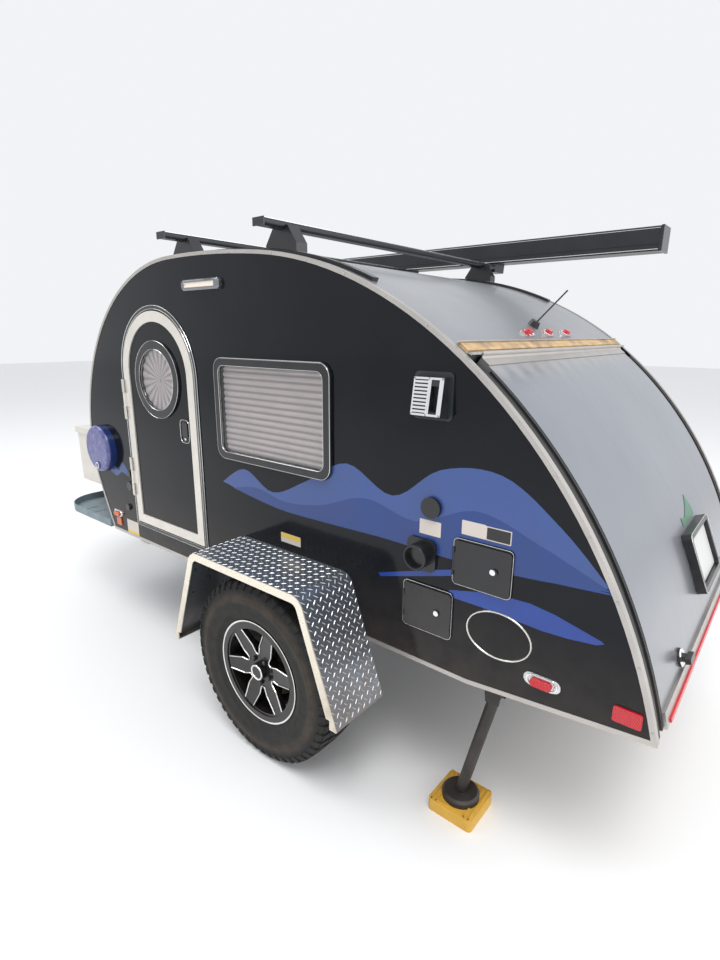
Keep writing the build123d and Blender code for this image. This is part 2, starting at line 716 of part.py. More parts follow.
VENT_X = -607.0
VENT_WIDE = 98.0
VENT_TOP_Z = 1480.0
VENT_LOW_Z = 1374.0
VENT_TOP_PROUD = 27.0
VENT_LOW_PROUD = 44.0
VENT_BASE = 15.0
with BuildPart() as vent:
    with BuildSketch(side(BODY_HALF + 4)):
        with Locations((VENT_X, (VENT_TOP_Z + VENT_LOW_Z) / 2)):
            RectangleRounded(VENT_WIDE + 2 * VENT_BASE, VENT_TOP_Z - VENT_LOW_Z + 2 * VENT_BASE, 14)
    extrude(amount=4)
    with BuildSketch(end(VENT_X - VENT_WIDE / 2)):
        with BuildLine():
            Polyline((BODY_HALF, VENT_TOP_Z + 3), (BODY_HALF + VENT_TOP_PROUD, VENT_TOP_Z),
                     (BODY_HALF + VENT_LOW_PROUD, VENT_LOW_Z), (BODY_HALF, VENT_LOW_Z - 10),
                     close=True)
        make_face()
    extrude(amount=VENT_WIDE)
    with BuildSketch(side(BODY_HALF + VENT_LOW_PROUD)):
        with Locations((VENT_X - 22, (VENT_TOP_Z + VENT_LOW_Z) / 2 - 6)):
            RectangleRounded(30, 72, 4)
    extrude(amount=VENT_LOW_PROUD - 14, mode=Mode.SUBTRACT)
write(vent.part, "range_vent")

INLET_X = -588.0
INLET_Z = 941.0
INLET_R = 40.0
INLET_BORE_R = 33.0
with BuildPart() as inlet:
    with BuildSketch(side(BODY_HALF + 8)):
        with Locations((INLET_X, INLET_Z)):
            RectangleRounded(104, 104, 22)
    extrude(amount=8)
    with BuildSketch(side(BODY_HALF + 44)):
        with Locations((INLET_X, INLET_Z)):
            Circle(INLET_R)
            Circle(INLET_BORE_R, mode=Mode.SUBTRACT)
    extrude(amount=36)
    with BuildSketch(side(BODY_HALF + 26)):
        with Locations((INLET_X, INLET_Z)):
            Circle(INLET_BORE_R + 1)
    extrude(amount=18)

CAPS = [
    # x, z, radius, proud
    (-617.0, 1097.0, 33.0, 13.0),
    (1171.0, 838.0, 24.0, 8.0),
    (1163.0, 904.0, 14.0, 8.0),
    (1206.0, 719.0, 17.0, 10.0),
]
with BuildPart() as caps:
    for x, z, radius, proud in CAPS:
        with BuildSketch(side(BODY_HALF + proud)):
            with Locations((x, z)):
                Circle(radius)
        extrude(amount=proud)
write(Part() + [inlet.part, caps.part], "wall_sockets")

POD_X = 1398.0
POD_Z = 1008.0
POD_R = 122.0
POD_PROUD = 46.0
POD_BOSS_DROP = 87.0
POD_BOSS_R = 20.0
with BuildPart() as pod:
    with BuildSketch(side(BODY_HALF + POD_PROUD)):
        with Locations((POD_X, POD_Z)):
            Circle(POD_R)
    extrude(amount=POD_PROUD)
    fillet(pod.faces().sort_by(Axis.Y)[-1].edges(), 18)
    with BuildSketch(side(BODY_HALF + POD_PROUD + 6)):
        with Locations((POD_X, POD_Z - POD_BOSS_DROP)):
            Circle(POD_BOSS_R)
    extrude(amount=POD_PROUD)
write(pod.part, "round_pod")

FRONT_LAMPS = [
    # x, z, wide, high, proud, corner
    (1322.0, 664.0, 84.0, 34.0, 5.0, 16.0),
    (1322.0, 661.0, 52.0, 22.0, 18.0, 10.0),
    (1322.0, 618.0, 44.0, 44.0, 6.0, 4.0),
]
REAR_LAMPS = [
    # x, z, wide, high, proud, corner
    (-993.0, 668.0, 104.0, 38.0, 5.0, 18.0),
    (-993.0, 666.0, 60.0, 24.0, 18.0, 10.0),
    (-1213.0, 665.0, 70.0, 44.0, 6.0, 6.0),
]


def wall_lamps(rows):
    """Marker lamps and reflectors on both walls."""
    with BuildPart() as lamps:
        for x, z, wide, high, proud, corner in rows:
            with BuildSketch(side(BODY_HALF + proud)):
                with Locations((x, z)):
                    RectangleRounded(wide, high, corner)
            extrude(amount=proud)
    return pair(lamps.part)


write(wall_lamps(FRONT_LAMPS), "front_lamps")

# Lamps and antenna on the roof
LAMP_AHEAD = 98.0
LAMP_YS = (190.0, 0.0, -190.0)
lamp_point, lamp_heading = surface(LAMP_AHEAD, 0)
lamp_plane = Plane(origin=(AXLE_X + lamp_point[0], 0, lamp_point[1]), x_dir=(0, 1, 0),
                   z_dir=(sin(lamp_heading), 0, -cos(lamp_heading)))
with BuildPart() as roof_lamps:
    with BuildSketch(lamp_plane.offset(0.05)):
        with Locations([(y, 0) for y in LAMP_YS]):
            RectangleRounded(66, 40, 14)
    extrude(amount=7)
    with BuildSketch(lamp_plane.offset(6)):
        with Locations([(y, 0) for y in LAMP_YS]):
            SlotOverall(44, 26)
    extrude(amount=15, taper=14)
write(Part() + [wall_lamps(REAR_LAMPS), roof_lamps.part], "rear_lamps")

ANTENNA_AHEAD = 155.0
ANTENNA_Y = 25.0
antenna_point, antenna_heading = surface(ANTENNA_AHEAD, 0)
antenna_plane = Plane(origin=(AXLE_X + antenna_point[0], ANTENNA_Y, antenna_point[1]),
                      x_dir=(0, 1, 0), z_dir=(sin(antenna_heading), 0, -cos(antenna_heading)))
rod_plane = Plane(origin=(AXLE_X + antenna_point[0], ANTENNA_Y, antenna_point[1]),
                  x_dir=(0, 1, 0), z_dir=(-0.66, -0.12, 0.74))
with BuildPart() as antenna:
    with BuildSketch(antenna_plane.offset(0.05)):
        Circle(22)
    extrude(amount=20, taper=12)
    with BuildSketch(rod_plane.offset(8)):
        Circle(3)
    extrude(amount=160)
write(antenna.part, "antenna")

# Roof tracks, crossbars with their feet, and the awning case
TRACK_FRONT_CUT = 1080.0    # of the nose arc and of the rear roof arc that carries no track
TRACK_REAR_CUT = 420.0
with BuildPart() as tracks:
    with BuildSketch(side(TRACK_RAIL_Y + TRACK_RAIL_WIDE / 2)):
        skin(-TRACK_RAIL_HIGH, 0, 3, 4, cut_start=0, cut_end=TRACK_REAR_CUT)
        skin(-TRACK_RAIL_HIGH, 0, 2, 2, cut_start=TRACK_FRONT_CUT, cut_end=0)
    extrude(amount=TRACK_RAIL_WIDE)
write(pair(tracks.part), "roof_tracks")

BAR_CORNER = 9.0
with BuildPart() as bars:
    for x, z in BARS:
        with BuildSketch(side(BAR_HALF)):
            with Locations((x, z)):
                RectangleRounded(BAR_DEEP, BAR_HIGH, BAR_CORNER)
        extrude(amount=2 * BAR_HALF)

FOOT_LONG = 150.0
FOOT_WIDE = 52.0
FOOT_SHOULDER = 58.0        # from the middle of the bar down to the widest part
FOOT_NECK = 68.0
with BuildPart() as feet:
    for x, z in BARS:
        with BuildSketch(side(TRACK_RAIL_Y + FOOT_WIDE / 2)):
            with BuildLine():
                Polyline((x - FOOT_LONG / 2, z - 2 * FOOT_SHOULDER),
                         (x - FOOT_LONG / 2, z - FOOT_SHOULDER), (x - FOOT_NECK / 2, z),
                         (x + FOOT_NECK / 2, z), (x + FOOT_LONG / 2, z - FOOT_SHOULDER),
                         (x + FOOT_LONG / 2, z - 2 * FOOT_SHOULDER), close=True)
            make_face()
        extrude(amount=FOOT_WIDE)
    with BuildSketch(side(TRACK_RAIL_Y + FOOT_WIDE)):
        body_face(-TRACK_RAIL_HIGH - REST_GAP)
    extrude(amount=2 * FOOT_WIDE, mode=Mode.SUBTRACT)
    for x, z in BARS:
        with BuildSketch(side(TRACK_RAIL_Y + FOOT_WIDE)):
            with Locations((x, z)):
                RectangleRounded(BAR_DEEP + 2 * REST_GAP, BAR_HIGH + 2 * REST_GAP,
                                 BAR_CORNER + REST_GAP)
        extrude(amount=2 * FOOT_WIDE, mode=Mode.SUBTRACT)
write(pair(feet.part), "rack_feet")

with BuildPart() as awning:
    with BuildSketch(end(AWNING_REAR_X)):
        with Locations((AWNING_Y, AWNING_Z + AWNING_HIGH / 2)):
            RectangleRounded(AWNING_WIDE, AWNING_HIGH, 8)
    extrude(amount=AWNING_LONG)
write(awning.part, "awning_case")

BRACKET_LONG = 110.0
BRACKET_HALF = 28.0
with BuildPart() as awning_brackets:
    for x, z in BARS:
        with BuildSketch(side(-BAR_HALF - REST_GAP)):
            with BuildLine():
                Polyline((x - BRACKET_HALF, AWNING_Z - REST_GAP),
                         (x + BRACKET_HALF, AWNING_Z - REST_GAP),
                         (x + BRACKET_HALF - 4, z - BAR_HIGH), (x + 4 - BRACKET_HALF, z - BAR_HIGH),
                         close=True)
            make_face()
        extrude(amount=BRACKET_LONG)
write(Part() + [bars.part, awning_brackets.part], "crossbars")

# Plate holder and latches on the hatch
PLATE_FAR = 877.0           # middle of the holder behind the hinge
PLATE_Y = -75.0
PLATE_WIDE = 324.0
PLATE_TALL = 212.0
PLATE_FRAME = 20.0
PLATE_PROUD = 28.0
with BuildPart() as holder:
    with BuildSketch(hatch_plane(PLATE_FAR, PLATE_Y).offset(-8)):
        RectangleRounded(PLATE_WIDE, PLATE_TALL, 26)
    extrude(amount=PLATE_PROUD + 8)
    with BuildSketch(hatch_plane(PLATE_FAR, PLATE_Y).offset(PLATE_PROUD - 16)):
        RectangleRounded(PLATE_WIDE - 2 * PLATE_FRAME, PLATE_TALL - 2 * PLATE_FRAME, 10)
    extrude(amount=20, mode=Mode.SUBTRACT)
    with BuildSketch(side(BODY_HALF)):
        skin(-REST_GAP, HATCH_THICK, *HATCH_ARCS)
    extrude(amount=2 * BODY_HALF, mode=Mode.SUBTRACT)

LATCH_FAR = 1036.0
LATCH_Y = 440.0
LATCH_BASE_R = 27.0
LATCH_KNOB_R = 13.0
with BuildPart() as latch:
    with BuildSketch(hatch_plane(LATCH_FAR, LATCH_Y).offset(REST_GAP)):
        Circle(LATCH_BASE_R)
    extrude(amount=7)
    with BuildSketch(hatch_plane(LATCH_FAR, LATCH_Y).offset(6)):
        Circle(LATCH_KNOB_R)
    extrude(amount=16)
    with BuildSketch(hatch_plane(LATCH_FAR, LATCH_Y).offset(20)):
        RectangleRounded(58, 19, 6)
    extrude(amount=15)
write(Part() + [holder.part, pair(latch.part)], "hatch_fittings")

# Steel frame with its tongue, leg brackets and the plate for the jack
tongue_angle = atan2(TONGUE_TIP_Y - RAIL_Y, TONGUE_TIP_X - TONGUE_ROOT_X)
tongue_long = hypot(TONGUE_TIP_Y - RAIL_Y, TONGUE_TIP_X - TONGUE_ROOT_X)
CROSS_XS = (-975.0, -480.0, 150.0, 760.0, 1225.0)
with BuildPart() as chassis:
    with BuildSketch(deck(RAIL_Z)):
        for y in (RAIL_Y, -RAIL_Y):
            with Locations(((RAIL_FRONT_X + RAIL_REAR_X) / 2, y)):
                Rectangle(RAIL_FRONT_X - RAIL_REAR_X, RAIL_WIDE)
        for x in CROSS_XS:
            with Locations((x, 0)):
                Rectangle(RAIL_WIDE, 2 * RAIL_Y)
        for turn in (1, -1):
            middle = ((TONGUE_ROOT_X + TONGUE_TIP_X) / 2, turn * (RAIL_Y + TONGUE_TIP_Y) / 2)
            with Locations(Location((middle[0], middle[1], 0), (0, 0, turn * degrees(tongue_angle)))):
                Rectangle(tongue_long, RAIL_WIDE)
        with Locations((TONGUE_TIP_X - 2, 0)):
            Rectangle(20, 2 * TONGUE_TIP_Y + RAIL_WIDE)
    extrude(amount=RAIL_HIGH)
    with BuildSketch(deck(FLOOR_Z)):
        with BuildLine():
            Polyline((JACK_X - 90, -165), (JACK_X + 120, -95), (JACK_X + 120, 95),
                     (JACK_X - 90, 165), close=True)
        make_face()
        with Locations((JACK_X, 0)):
            Circle(JACK_TUBE_R + SEAM, mode=Mode.SUBTRACT)
    extrude(amount=TONGUE_PLATE_THICK)
    for flip in (1, -1):
        for y in (LEG_BOSS / 2 + 1 + LEG_EAR, -LEG_BOSS / 2 - 1):
            with BuildSketch(side(flip * LEG_Y + y)):
                with BuildLine():
                    Polyline((LEG_PIVOT[0] - 32, FLOOR_Z - 4), (LEG_PIVOT[0] + 32, FLOOR_Z - 4),
                             (LEG_PIVOT[0] + 22, LEG_PIVOT[1] - 22),
                             (LEG_PIVOT[0] - 22, LEG_PIVOT[1] - 22), close=True)
                make_face()
            extrude(amount=LEG_EAR)
    for flip in (1, -1):
        with BuildSketch(side(flip * LEG_Y + LEG_BOSS / 2 + 1 + LEG_EAR)):
            with Locations(LEG_PIVOT):
                Circle(LEG_PIN_R)
        extrude(amount=LEG_BOSS + 2 + 2 * LEG_EAR)
        reach = LEG_Y + LEG_BOSS / 2 + 1 + LEG_EAR
        with BuildSketch(deck(FLOOR_Z - 10)):
            with Locations((LEG_PIVOT[0], flip * (RAIL_Y + reach) / 2)):
                Rectangle(70, reach - RAIL_Y)
        extrude(amount=10)

# Coupler with the ball socket under its nose
SOCKET_X = NOSE_X - 42
SOCKET_R = 25.7
COUPLER_Z = 478.0
COUPLER_HIGH = 80.0
with BuildPart() as coupler:
    with BuildSketch(deck(COUPLER_Z)):
        with BuildLine():
            Polyline((SOCKET_X, 42), (SOCKET_X - 60, 42), (TONGUE_TIP_X + 70, 78),
                     (TONGUE_TIP_X + 8.5, 82), (TONGUE_TIP_X + 8.5, -82), (TONGUE_TIP_X + 70, -78),
                     (SOCKET_X - 60, -42), (SOCKET_X, -42))
            ThreePointArc((SOCKET_X, -42), (NOSE_X, 0), (SOCKET_X, 42))
        make_face()
    extrude(amount=COUPLER_HIGH)
    fillet(coupler.faces().sort_by(Axis.Z)[-1].edges(), 12)
    with BuildSketch(deck(COUPLER_Z)):
        with Locations((SOCKET_X, 0)):
            Circle(SOCKET_R)
    extrude(amount=22, mode=Mode.SUBTRACT)
    with Locations((AXLE_X + SOCKET_X, 0, COUPLER_Z + 22)):
        Sphere(SOCKET_R, mode=Mode.SUBTRACT)
    with BuildSketch(side(12)):
        with BuildLine():
            Polyline((SOCKET_X - 95, COUPLER_Z + 70), (SOCKET_X - 40, COUPLER_Z + 70),
                     (SOCKET_X - 45, COUPLER_Z + 96), (SOCKET_X - 150, COUPLER_Z + 118),
                     (SOCKET_X - 152, COUPLER_Z + 108), (SOCKET_X - 90, COUPLER_Z + 92), close=True)
        make_face()
    extrude(amount=24)
write(coupler.part, "coupler")

# Tongue jack: tube with crank head, and the leg that slides in it
with BuildPart() as jack_tube:
    with BuildSketch(deck(JACK_TUBE_Z)):
        with Locations((JACK_X, 0)):
            Circle(JACK_TUBE_R)
    extrude(amount=JACK_TOP_Z - JACK_TUBE_Z)
    with BuildSketch(deck(FLOOR_Z + TONGUE_PLATE_THICK)):
        with Locations((JACK_X, 0)):
            Circle(52)
    extrude(amount=8)
    with BuildSketch(deck(JACK_TOP_Z)):
        with Locations((JACK_X, 0)):
            Circle(36)
    extrude(amount=46)
    with BuildSketch(deck(JACK_TUBE_Z)):
        with Locations((JACK_X, 0)):
            Circle(JACK_LEG_R + 0.08)
    extrude(amount=JACK_TOP_Z - JACK_TUBE_Z - 6, mode=Mode.SUBTRACT)
    with BuildSketch(end(JACK_X + 30)):
        with Locations((0, JACK_TOP_Z + 24)):
            Circle(8)
    extrude(amount=44)
    with BuildSketch(side(9)):
        with BuildLine():
            Polyline((JACK_X + 56, JACK_TOP_Z + 36), (JACK_X + 74, JACK_TOP_Z + 36),
                     (JACK_X + 74, JACK_TOP_Z - 150), (JACK_X + 56, JACK_TOP_Z - 150), close=True)
        make_face()
    extrude(amount=18)
    with BuildSketch(end(JACK_X + 66)):
        with Locations((0, JACK_TOP_Z - 140)):
            Circle(10)
    extrude(amount=90)
write(jack_tube.part, "jack_tube")

JACK_LIFT = 210.0
with BuildPart() as jack_leg:
    with BuildSketch(deck(0)):
        with Locations((JACK_X, 0)):
            RectangleRounded(150, 130, 24)
    extrude(amount=8)
    with BuildSketch(deck(8)):
        with Locations((JACK_X, 0)):
            Circle(JACK_LEG_R)
    extrude(amount=JACK_TOP_Z - 6 - 20 - JACK_LIFT - 8)
    with BuildSketch(deck(8)):
        with Locations((JACK_X, 0)):
            Circle(44)
    extrude(amount=14, taper=35)
write(jack_leg.part, "jack_leg")

# Moulded tray on the tongue, with the lidded box on risers above it
TRAY_CORNER_R = 190.0
TRAY_SHEET = 5.0
TRAY_SLOTS = [
    # distance ahead of the tray's rear edge, distance from the middle
    (60.0, 500.0),
    (60.0, 180.0),
    (480.0, 500.0),
    (480.0, 180.0),
    (300.0, 700.0),
    (400.0, 700.0),
]
with BuildPart() as tray:
    with BuildSketch(deck(FLOOR_Z)):
        with Locations((TRAY_REAR_X, 0)):
            RectangleRounded(2 * TRAY_LONG, 2 * TRAY_HALF, TRAY_CORNER_R)
        with Locations((TRAY_REAR_X - TRAY_LONG, 0)):
            Rectangle(2 * TRAY_LONG, 2 * TRAY_HALF, mode=Mode.SUBTRACT)
    extrude(amount=TRAY_RIM)
    offset(amount=-TRAY_SHEET, openings=tray.faces().sort_by(Axis.Z)[-1])
    with BuildSketch(deck(FLOOR_Z)):
        for x, y in TRAY_SLOTS:
            with Locations((TRAY_REAR_X + x, y), (TRAY_REAR_X + x, -y)):
                SlotOverall(90, 16, rotation=90)
    extrude(amount=TRAY_SHEET + 1, mode=Mode.SUBTRACT)
write(tray.part, "tongue_tray")

RISER_INSET = 20.0
RISER_POST = 40.0
RISER_YS = (520.0, -520.0)
with BuildPart() as risers:
    for y in RISER_YS:
        rear, foot = BOX_REAR_X + RISER_INSET, FLOOR_Z + TRAY_SHEET
        front = BOX_REAR_X + BOX_LONG - 3 * RISER_INSET
        with BuildSketch(side(y + RISER_POST / 2)):
            with BuildLine():
                Polyline((rear, foot), (rear + RISER_POST, foot), (rear + RISER_POST, BOX_Z - RISER_POST),
                         (front - RISER_POST, BOX_Z - RISER_POST), (front - RISER_POST, foot),
                         (front, foot), (front, BOX_Z), (rear, BOX_Z), close=True)
            make_face()
        extrude(amount=RISER_POST)
write(Part() + [chassis.part, risers.part], "chassis")

with BuildPart() as box:
    with BuildSketch(deck(BOX_Z)):
        with Locations((BOX_REAR_X + BOX_LONG / 2, 0)):
            Rectangle(BOX_LONG, 2 * BOX_HALF)
    extrude(amount=BOX_HIGH)
    offset(amount=-SHEET, openings=box.faces().sort_by(Axis.Z)[-1])
LID_OVER = 10.0
LID_PIN = (BOX_REAR_X - LID_OVER - 5, BOX_Z + BOX_HIGH - 20)
LID_KNUCKLE_R = 4.5
LID_PIN_R = 2.5
LID_HINGE_YS = (420.0, -420.0)
LID_KNUCKLE = 60.0
with BuildPart() as box_hinges:
    for y in LID_HINGE_YS:
        with BuildSketch(side(y + LID_KNUCKLE)):
            with Locations(LID_PIN):
                Circle(LID_PIN_R)
        extrude(amount=2 * LID_KNUCKLE)
        for near in (y + LID_KNUCKLE, y - LID_KNUCKLE / 2 - 0.5):
            with BuildSketch(side(near)):
                with Locations(LID_PIN):
                    Circle(LID_KNUCKLE_R)
                with BuildLine():
                    Polyline((LID_PIN[0] - 3, LID_PIN[1] - 1), (LID_PIN[0] - 3, LID_PIN[1] - 14),
                             (BOX_REAR_X - 2, LID_PIN[1] - 16), (BOX_REAR_X - 2, LID_PIN[1] - 45),
                             (BOX_REAR_X, LID_PIN[1] - 45), (BOX_REAR_X, LID_PIN[1] - 13),
                             (LID_PIN[0] + 1, LID_PIN[1] - 11), (LID_PIN[0] + 1, LID_PIN[1] - 1),
                             close=True)
                make_face()
            extrude(amount=LID_KNUCKLE / 2 - 0.5)
write(Part() + [box.part, box_hinges.part], "tongue_box")

with BuildPart() as box_lid:
    with BuildSketch(deck(BOX_Z + BOX_HIGH - BOX_LID_HIGH + 8)):
        with Locations((BOX_REAR_X + BOX_LONG / 2, 0)):
            Rectangle(BOX_LONG + 2 * LID_OVER, 2 * (BOX_HALF + LID_OVER))
    extrude(amount=BOX_LID_HIGH)
    offset(amount=-SHEET, openings=box_lid.faces().sort_by(Axis.Z)[0])
    for y in LID_HINGE_YS:
        with BuildSketch(side(y + LID_KNUCKLE / 2)):
            with Locations(LID_PIN):
                Circle(LID_KNUCKLE_R)
            with Locations((LID_PIN[0] + 3, LID_PIN[1] + 3)):
                Rectangle(5, 3)
            with Locations(LID_PIN):
                Circle(LID_PIN_R + PIN_PLAY, mode=Mode.SUBTRACT)
        extrude(amount=LID_KNUCKLE)
write(box_lid.part, "tongue_box_lid")

# Axle: square beam under the rails, trailing arms and spindles
AXLE_BEAM = 70.0
AXLE_BEAM_X = 150.0
ARM_Y = BODY_HALF - 52.0
ARM_WIDE = 36.0
SPINDLE_END = TRACK_Y + 32.0
with BuildPart() as axle:
    with BuildSketch(side(ARM_Y - ARM_WIDE)):
        with Locations((AXLE_BEAM_X, RAIL_Z - AXLE_BEAM / 2)):
            Rectangle(AXLE_BEAM, AXLE_BEAM)
    extrude(amount=2 * (ARM_Y - ARM_WIDE))
    for flip in (1, -1):
        with BuildSketch(side(ARM_Y if flip > 0 else ARM_WIDE - ARM_Y)):
            with BuildLine():
                Polyline((AXLE_BEAM_X + 30, RAIL_Z), (AXLE_BEAM_X + 40, RAIL_Z - 30),
                         (AXLE_BEAM_X + 30, RAIL_Z - 76), (20, TYRE_R - 36), (-26, TYRE_R - 28),
                         (-36, TYRE_R), (-24, TYRE_R + 32), (AXLE_BEAM_X - 50, RAIL_Z),
                         close=True)
            make_face()
        extrude(amount=ARM_WIDE)
        with BuildSketch(side(SPINDLE_END if flip > 0 else -ARM_Y)):
            with Locations((0, TYRE_R)):
                Circle(SPINDLE_R)
        extrude(amount=SPINDLE_END - ARM_Y)
write(axle.part, "axle")

# Wheels: tyre, rim and hub, all turned on the spindle line
half_tyre = TYRE_WIDE / 2
bead = RIM_WIDE / 2 - 0.5
BEAD_THICK = 12.5
BELLY_R = 268.0
SHOULDER_R = 338.0
SHOULDER_IN = 10.0
TREAD_IN = 22.0
CARCASS = 26.0
with BuildPart() as tyre:
    with BuildSketch(Plane(origin=(AXLE_X, TRACK_Y, TYRE_R), x_dir=(0, 1, 0), z_dir=(1, 0, 0))):
        inner = TYRE_R - CARCASS
        with BuildLine():
            Polyline((BEAD_THICK - bead, RIM_R + REST_GAP), (-bead, RIM_R + REST_GAP),
                     (-bead, RIM_LIP_R + 1))
            ThreePointArc((-bead, RIM_LIP_R + 1), (-half_tyre, BELLY_R),
                          (SHOULDER_IN - half_tyre, SHOULDER_R))
            Polyline((SHOULDER_IN - half_tyre, SHOULDER_R), (TREAD_IN - half_tyre, TYRE_R),
                     (half_tyre - TREAD_IN, TYRE_R), (half_tyre - SHOULDER_IN, SHOULDER_R))
            ThreePointArc((half_tyre - SHOULDER_IN, SHOULDER_R), (half_tyre, BELLY_R),
                          (bead, RIM_LIP_R + 1))
            Polyline((bead, RIM_LIP_R + 1), (bead, RIM_R + REST_GAP),
                     (bead - BEAD_THICK, RIM_R + REST_GAP))
            ThreePointArc((bead - BEAD_THICK, RIM_R + REST_GAP), (half_tyre - 12, BELLY_R),
                          (half_tyre - TREAD_IN, inner))
            Line((half_tyre - TREAD_IN, inner), (TREAD_IN - half_tyre, inner))
            ThreePointArc((TREAD_IN - half_tyre, inner), (12 - half_tyre, BELLY_R),
                          (BEAD_THICK - bead, RIM_R + REST_GAP))
        make_face()
    revolve(axis=Axis((AXLE_X, TRACK_Y, TYRE_R), (0, 1, 0)))
write_sides(tyre.part, "tyre_left", "tyre_right")

RIM_SHEET = 12.0
RIM_LIP = 5.0
HUB_HOLE_R = 34.0
WINDOW_TIP_R = 66.0
WINDOW_FAR_R = 170.0
WINDOW_SPREAD = 21.5        # half of the angle of a window at the rim, degrees
far_x = WINDOW_FAR_R * cos(radians(WINDOW_SPREAD))
far_y = WINDOW_FAR_R * sin(radians(WINDOW_SPREAD))
with BuildSketch() as window:
    with BuildLine():
        Polyline((WINDOW_TIP_R + 8, -11), (WINDOW_TIP_R + 34, -20), (far_x, -far_y))
        ThreePointArc((far_x, -far_y), (WINDOW_FAR_R, 0), (far_x, far_y))
        Polyline((far_x, far_y), (WINDOW_TIP_R + 34, 20), (WINDOW_TIP_R + 8, 11))
        ThreePointArc((WINDOW_TIP_R + 8, 11), (WINDOW_TIP_R, 0), (WINDOW_TIP_R + 8, -11))
    make_face()

with BuildPart() as rim:
    with BuildSketch(Plane(origin=(AXLE_X, TRACK_Y, TYRE_R), x_dir=(0, 1, 0), z_dir=(1, 0, 0))):
        half = RIM_WIDE / 2
        with BuildLine():
            Polyline((-half, RIM_LIP_R), (-half - RIM_LIP, RIM_LIP_R),
                     (-half - RIM_LIP, RIM_R - RIM_SHEET), (half + RIM_LIP, RIM_R - RIM_SHEET),
                     (half + RIM_LIP, RIM_LIP_R), (half, RIM_LIP_R), (half, RIM_R), (-half, RIM_R),
                     close=True)
        make_face()
        with BuildLine():
            Polyline((22, HUB_HOLE_R), (22, 75), (48, 120), (54, RIM_R - RIM_SHEET),
                     (half, RIM_R - RIM_SHEET), (half - 4, 150), (half - 10, 100), (64, 62),
                     (64, HUB_HOLE_R), close=True)
        make_face()
    revolve(axis=Axis((AXLE_X, TRACK_Y, TYRE_R), (0, 1, 0)))
    with BuildSketch(side(TRACK_Y + RIM_WIDE)):
        with Locations((0, TYRE_R)):
            with PolarLocations(0, SPOKES, start_angle=21):
                add(window.sketch)
    extrude(amount=RIM_WIDE, mode=Mode.SUBTRACT)
    with BuildSketch(side(TRACK_Y + half + RIM_LIP + 2)):
        with Locations((0, TYRE_R)):
            Circle(HUB_HOLE_R)
    extrude(amount=26)
write_sides(rim.part, "rim_left", "rim_right")

HUB_FACE_Y = TRACK_Y + 21
with BuildPart() as hub:
    with BuildSketch(side(HUB_FACE_Y)):
        with Locations((0, TYRE_R)):
            Circle(72)
    extrude(amount=12)
    with BuildSketch(side(HUB_FACE_Y - 20)):
        with Locations((0, TYRE_R)):
            Circle(126)
    extrude(amount=62)
    with BuildSketch(side(HUB_FACE_Y + 20)):
        with Locations((0, TYRE_R)):
            Circle(30)
    extrude(amount=150)
    with BuildSketch(side(HUB_FACE_Y + 40)):
        with Locations((0, TYRE_R)):
            Circle(SPINDLE_R + PIN_PLAY)
    extrude(amount=190, mode=Mode.SUBTRACT)
    with BuildSketch(side(HUB_FACE_Y + 20)):
        with Locations((0, TYRE_R)):
            Circle(30)
    extrude(amount=5)
write_sides(hub.part, "hub_left", "hub_right")

# Fenders of folded tread plate, with a turned-down lip
FENDER_PATH = [
    (-FENDER_FOOT_HALF, FENDER_FOOT_Z),
    (-FENDER_TOP_HALF, FENDER_TOP_Z),
    (FENDER_TOP_HALF, FENDER_TOP_Z),
    (FENDER_FOOT_HALF, FENDER_FOOT_Z),
]


def fender_face(inset):
    """Side outline of the fender with its two bends, inside an open sketch."""
    with BuildSketch(Plane.XY, mode=Mode.PRIVATE) as shape:
        with BuildLine() as border:
            Polyline(*FENDER_PATH, close=True)
        make_face(border.edges())
        fillet(shape.vertices().group_by(Axis.Y)[-1], FENDER_BEND_R)
        offset(amount=-inset)
    return shape.sketch


with BuildPart() as fender:
    with BuildSketch(side(BODY_HALF + FENDER_WIDE)):
        add(fender_face(0))
        add(fender_face(FENDER_SHEET), mode=Mode.SUBTRACT)
    extrude(amount=FENDER_WIDE)
    with BuildSketch(side(BODY_HALF + FENDER_WIDE)):
        add(fender_face(0))
        add(fender_face(FENDER_LIP), mode=Mode.SUBTRACT)
    extrude(amount=FENDER_SHEET)
    with BuildSketch(side(BODY_HALF + FENDER_WIDE + 1)):
        with Locations((0, FENDER_FOOT_Z)):
            Rectangle(2 * FENDER_FOOT_HALF - 2 * FENDER_LIP, 2 * FENDER_LIP + 10)
    extrude(amount=FENDER_WIDE + 2, mode=Mode.SUBTRACT)
    with BuildSketch(side(BODY_HALF + TRIM_THICK + REST_GAP)):
        with Locations((0, FLOOR_Z + TRIM_FOOT / 2)):
            Rectangle(2 * FENDER_FOOT_HALF, TRIM_FOOT + 2)
    extrude(amount=TRIM_THICK + REST_GAP, mode=Mode.SUBTRACT)
write(pair(fender.part), "fenders")

